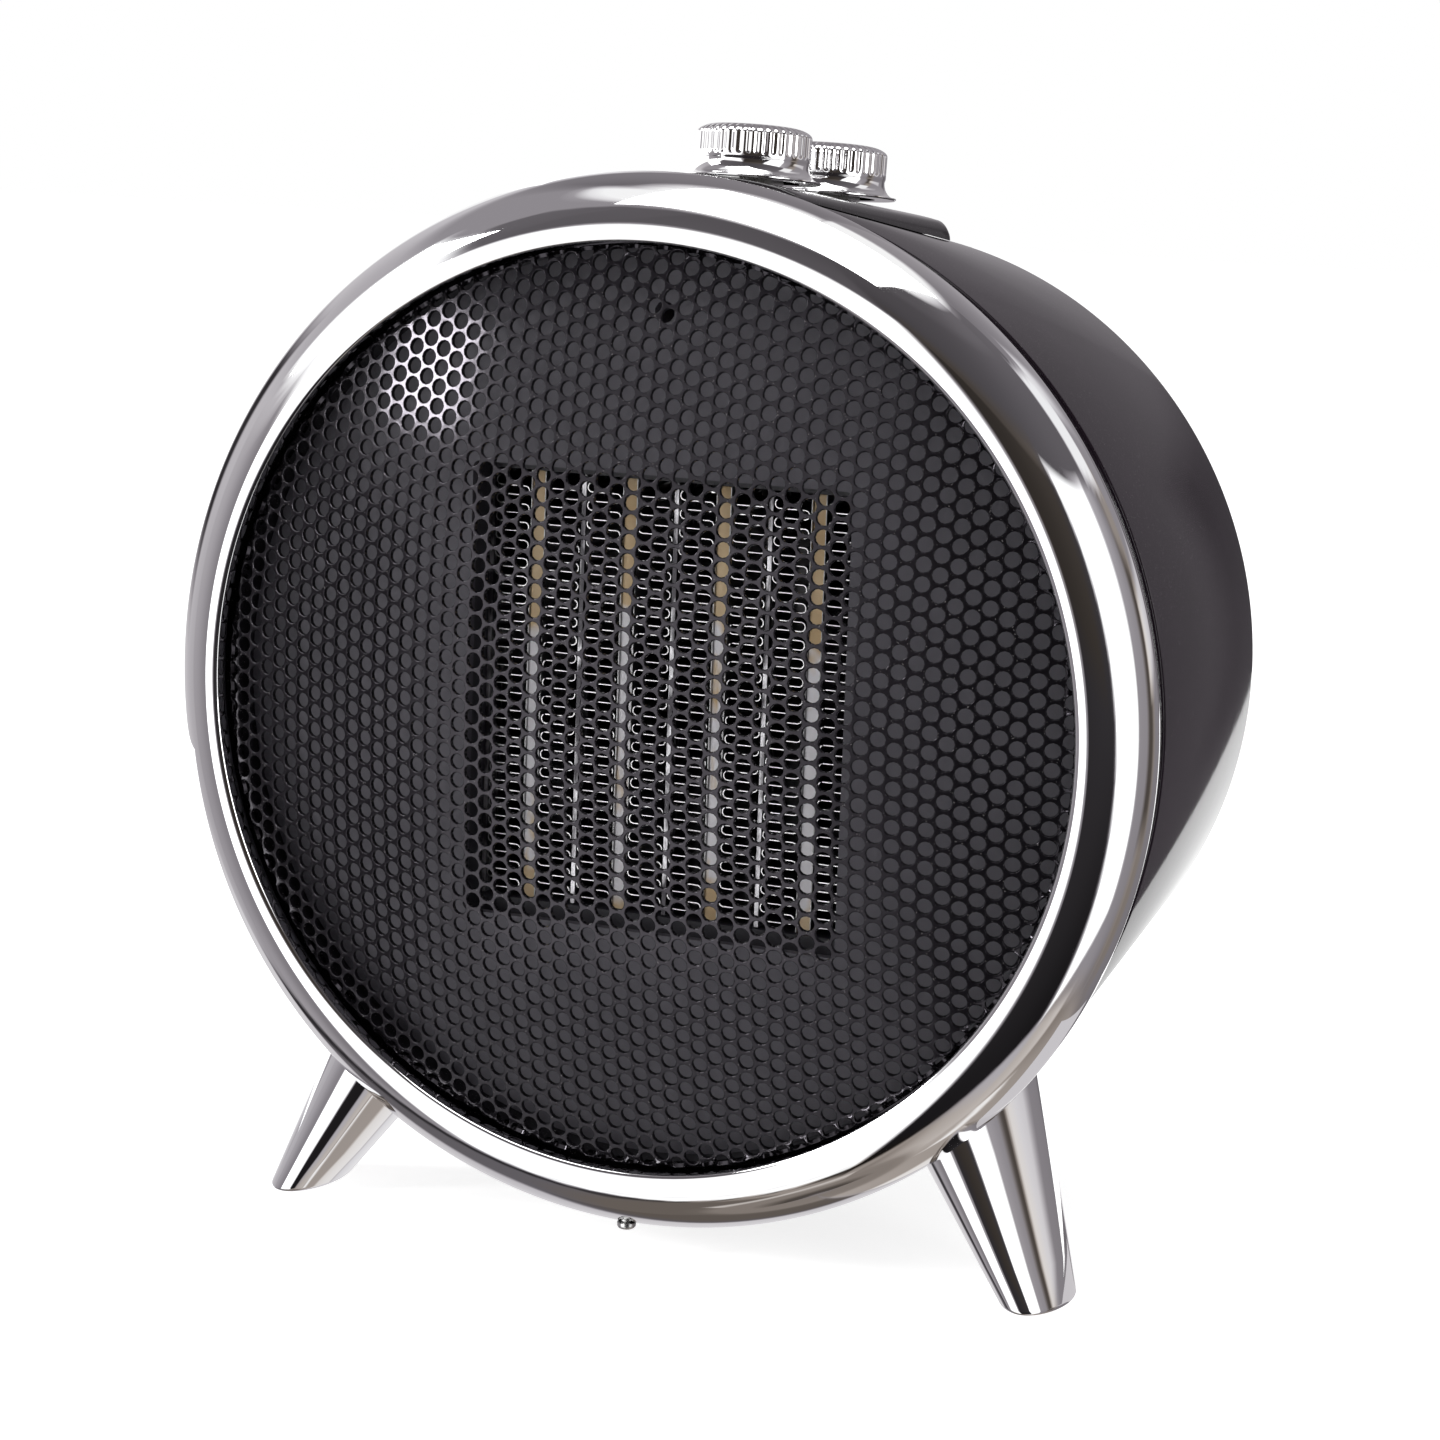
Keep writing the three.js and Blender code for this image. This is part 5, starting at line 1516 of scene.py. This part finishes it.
# Parts of the sky: four corners as azimuth and elevation, the level of all or of each, the soft edge
sky_regions = [
    # Above
    (((-110, 57), (0, 58), (0, 90), (-110, 90)), 1, 3),
    (((0, 66), (180, 68), (180, 90), (0, 90)), 1, 3),
    (((-180, 72), (-110, 62), (-110, 90), (-180, 90)), 1, 3),
    # Behind and to the left
    (((-180, 16), (-150, 20), (-100, 64), (-180, 73)), (0.38, 0.2, 0.15, 0.2), 8),
    (((-150, -30), (-88, -30), (-88, 36), (-150, 32)), (0.75, 0.4, 0.45, 0.6), 6),
    (((-152, -22), (-132, -18), (-138, 22), (-152, 30)), 0.97, 6),
    (rectangle(-110, 3, -60, 17), (0.5, 0.5, 0.55, 0.55), 4),
    (((-92, -42), (-50, -42), (-38, 8), (-92, 12)), (0.35, 0.2, 0.22, 0.45), 4),
    (((-180, -60), (-120, -56), (-110, -22), (-180, -14)), (0.6, 0.55, 0.7, 0.95), 5),
    (rectangle(-172, -12, -152, 18), (0.3, 0.35, 0.5, 0.45), 6),
    (rectangle(-180, -12, -171, 18), (0.16, 0.2, 0.44, 0.34), 4),
    (((-180, -78), (-100, -78), (-112, -56), (-180, -60)), (0.12, 0.12, 0.1, 0.1), 4),
    (((-115, -78), (-10, -78), (-50, -60), (-112, -36)), 0.13, 3),
    (((-112, -35), (-58, -61), (-56, -55), (-110, -29)), 0.03, 2),
    (((-60, -62), (12, -73), (12, -67), (-60, -56)), 0.04, 2),
    (((-133, -4), (-113, -4), (-110, 18), (-128, 12)), 0.03, 6),
    # White panel in front
    (((-88, 18), (-60, 13), (-60, 37), (-86, 39)), 1.3, 3),
    (((-60, 13), (-40, 0), (-42, 20), (-60, 36)), 1.2, 2),
    (((-37, -1), (-2, -5), (2, 30), (-44, 21)), 1.2, 2),
    (((-37, -15), (-2, -15), (-1, 4), (-38, 4)), 1.2, 2),
    (((-62, -49), (12, -66), (-1, -12), (-37, -12)), 1.2, 2),
    (((-62, -49), (-38, -63), (-10, -68), (12, -66)), 1.2, 2),
    (rectangle(-42, -31, -7, 8), 2.8, 6),
    # Grey band over it and over the right side
    (((-66, 41), (-43, 22), (-46, 54), (-62, 48)), (0.14, 0.12, 0.12, 0.14), 2),
    (((-44, 22), (-30, 28), (-30, 56), (-47, 53)), (0.12, 0.11, 0.11, 0.12), 2),
    (((-31, 28), (3, 30), (5, 59), (-31, 56)), (0.11, 0.1, 0.08, 0.1), 2),
    (((0, 30), (112, 32), (112, 67), (3, 61)), (0.06, 0.12, 0.15, 0.08), 3),
    (((5, 58), (90, 58), (90, 68), (30, 67)), (0.08, 0.15, 0.15, 0.1), 2),
    # Dark flag and the white panel beside it
    (((10, -72), (66, -50), (48, 31), (3, 31)), (0.008, 0.01, 0.05, 0.03), 3),
    (((18, -77), (105, -77), (96, -44), (66, -49)), (0.2, 0.5, 0.62, 0.45), 4),
    (((68, -48), (90, -31), (88, 34), (48, 32)), 1.4, 2),
    # Right and rear right
    (((90, -45), (112, -45), (112, 32), (88, 34)), (0.3, 0.2, 0.2, 0.45), 3),
    (rectangle(112, -45, 180, 48), (0.2, 0.13, 0.38, 0.3), 3),
    (((112, 46), (180, 32), (180, 68), (112, 67)), (0.26, 0.38, 0.3, 0.2), 4),
    (((107, -20), (120, -18), (118, 18), (108, 22)), 0.07, 6),
    (((117, 0), (150, 3), (150, 14), (117, 13)), (0.75, 0.6, 0.6, 0.75), 4),
    (((165, -12), (180, -12), (180, 10), (165, 10)), (0.13, 0.17, 0.13, 0.1), 5),
    (((100, 34), (122, 29), (128, 47), (104, 53)), 0.95, 3),
    (((120, 44), (148, 27), (152, 33), (126, 52)), (0.85, 0.4, 0.4, 0.85), 4),
    (rectangle(90, -78, 180, -45), (0.45, 0.4, 0.3, 0.22), 4),
    (((93, -66), (118, -74), (120, -69), (97, -60)), 0.9, 3),
    (((150, -60), (180, -60), (180, -28), (168, -30)), (0.7, 0.8, 0.9, 0.8), 4),
    # Below
    (rectangle(-180, -90, 180, -77), (0.2, 0.2, 0.24, 0.24), 3),
    (((-60, -77), (20, -78), (20, -75), (-60, -75)), 0.6, 1),
    (rectangle(-110, -90, 90, -84), 0.07, 2),
]
warm_regions = [
    rectangle(-180, -90, 180, -62),
    ((70, -90), (180, -90), (180, -40), (70, -45)),
    rectangle(108, -40, 125, 30),
    rectangle(5, 0, 45, 35),
]


def make_camera():
    """The photograph's view, fitted to the ring, the knobs and the feet."""
    turn = Matrix.Rotation(camera_azimuth, 4, "Z")
    turn @= Matrix.Rotation(math.pi / 2 - camera_elevation, 4, "X")
    turn @= Matrix.Rotation(camera_roll, 4, "Z")
    spot = Vector(camera_aim) + turn @ Vector((0, 0, camera_distance))
    data = bpy.data.cameras.new("camera")
    data.lens = camera_lens
    data.sensor_width = camera_sensor
    data.clip_start = camera_clip_start
    scene.camera = linked("camera", data)
    scene.camera.matrix_world = Matrix.Translation(to_frame @ spot) @ turn


def sky_place(azimuth, elevation, distance):
    """A place round the heater: azimuth 0 in front of it, 90 at its right, both in degrees."""
    turn, rise = math.radians(azimuth), math.radians(elevation)
    across = math.cos(rise) * distance
    return axis_spot + Vector((math.sin(turn) * across, -math.cos(turn) * across, math.sin(rise) * distance))


def make_world():
    """White for what the camera sees and what shines, and a soft fill for the rest."""
    scene.world = bpy.data.worlds.new("studio")
    web = web_of(scene.world)
    rays = ("Is Camera Ray", "Is Glossy Ray", "Is Transmission Ray")
    camera, glossy, passing = [web.node("ShaderNodeLightPath", output=name) for name in rays]
    plain = web.math("MINIMUM", camera + glossy + passing, 1)
    strength = plain + (1 - plain) * fill_level
    shade = web.node("ShaderNodeBackground", Color=(1, 1, 1, 1), Strength=strength)
    web.node("ShaderNodeOutputWorld", Surface=shade)


def staged(name, points, faces, material, hidden_rays):
    """A sheet of the studio, left out of the rays that are named."""
    mesh = mesh_of(name, points, faces)
    mesh.materials.append(material)
    sheet = linked(name, mesh)
    for ray in hidden_rays:
        setattr(sheet, "visible_" + ray, False)
    return mesh


def make_floor():
    """A pale floor, lifted a little for the camera so that it stays white outside the shadow."""
    material = bpy.data.materials.new("floor")
    web = web_of(material)
    tone = web.mix(web.noise(40, 2), (0.8, 0.8, 0.8), (0.84, 0.84, 0.84))
    matt = web.node("ShaderNodeBsdfDiffuse", Color=tone)
    camera_ray = web.node("ShaderNodeLightPath", output="Is Camera Ray")
    glow = web.node("ShaderNodeEmission", Strength=camera_ray * floor_lift)
    both = web.node("ShaderNodeAddShader", values={0: matt, 1: glow})
    web.node("ShaderNodeOutputMaterial", Surface=both)
    corners = [(x * floor_reach, y * floor_reach, 0) for x, y in ((-1, -1), (1, -1), (1, 1), (-1, 1))]
    staged("floor", corners, [(0, 1, 2, 3)], material, ["glossy"])


def make_lamps():
    for name, (azimuth, elevation, distance, width, height, power) in lamps.items():
        data = bpy.data.lights.new(name, "AREA")
        data.shape = "RECTANGLE"
        data.size = width
        data.size_y = height
        data.energy = power
        lamp = linked(name, data)
        spot = sky_place(azimuth, elevation, distance)
        lamp.location = spot
        lamp.rotation_euler = (spot - axis_spot).to_track_quat("Z", "Y").to_euler()


def tint_of(level, warmth):
    """Dim surroundings are a little purple, or brown where they are warm. Bright ones are white."""
    dimness = max(1 - level, 0)
    red = 1 + warm_red_share * warmth * dimness
    return (red, 1 - purple_share * dimness, 1 - warm_blue_share * warmth * dimness)


def shine_sheet(name, points, faces, levels):
    """A sheet that only shows in what shines, as bright at each point as its level: 1 is white."""
    material = bpy.data.materials.new(name)
    web = web_of(material)
    shade = web.node("ShaderNodeAttribute", {"attribute_name": "level"}, output="Color")
    web.node("ShaderNodeOutputMaterial", Surface=web.node("ShaderNodeEmission", Color=shade))
    mesh = staged(name, points, faces, material, ["camera", "diffuse", "transmission", "shadow"])
    colours = [part * level for level, warmth in levels for part in tint_of(level, warmth)]
    mesh.attributes.new("level", "FLOAT_VECTOR", "POINT").data.foreach_set("vector", colours)


def cover(azimuth, elevation, corners, soft):
    """How far a place is inside a four-cornered region, from 0 to 1 across its soft edge."""
    share = 1
    for (az_1, el_1), (az_2, el_2) in zip(corners, corners[1:] + corners[:1]):
        run = math.hypot(az_2 - az_1, el_2 - el_1)
        inside = ((az_2 - az_1) * (elevation - el_1) - (el_2 - el_1) * (azimuth - az_1)) / run
        share = min(share, inside / soft + 1 / 2)
    return max(share, 0)


def region_level(azimuth, elevation, corners, levels):
    """The level between the levels of the corners, each counting less with its distance."""
    if not isinstance(levels, tuple):
        return levels
    weights = [1 / ((azimuth - az) ** 2 + (elevation - el) ** 2 + region_blend ** 2) for az, el in corners]
    return sum(weight * level for weight, level in zip(weights, levels)) / sum(weights)


def sky_level(azimuth, elevation):
    level = sky_base
    for corners, levels, soft in sky_regions:
        share = cover(azimuth, elevation, corners, soft)
        if share:
            level += (region_level(azimuth, elevation, corners, levels) - level) * share
    return level, max(cover(azimuth, elevation, corners, warm_soft) for corners in warm_regions)


def make_sky():
    """What the chrome mirrors: soft boxes, dark flags and the dim room, all round the heater."""
    places = [
        (360 * column / sky_columns - 180, 180 * row / sky_rows - 90)
        for row in range(sky_rows + 1) for column in range(sky_columns + 1)
    ]
    width = sky_columns + 1
    starts = [row * width + column for row in range(sky_rows) for column in range(sky_columns)]
    faces = [(start, start + 1, start + width + 1, start + width) for start in starts]
    points = [sky_place(*place, sky_distance) for place in places]
    shine_sheet("mirrored_studio", points, faces, [sky_level(*place) for place in places])


def make_cards():
    for name, (level, axis, place, first, second) in cards.items():
        corners = [(first[one], second[other]) for one, other in ((0, 0), (1, 0), (1, 1), (0, 1))]
        points = [(place, *corner) if axis == "X" else (*corner, place) for corner in corners]
        shine_sheet(name, points, [(0, 1, 2, 3)], [(level, 0)] * 4)


scene.view_settings.view_transform = "Standard"
makers = [
    make_camera, make_world, make_floor, make_sky, make_cards, make_lamps,
    make_front_ring, make_grille, make_strips, make_fins, make_motor, make_fan, make_drum, make_rear_cover,
    make_cord_gland, make_control_pad, make_knobs, make_legs, make_all_screws, dress_kept_nodes,
]
for make in makers:
    make()
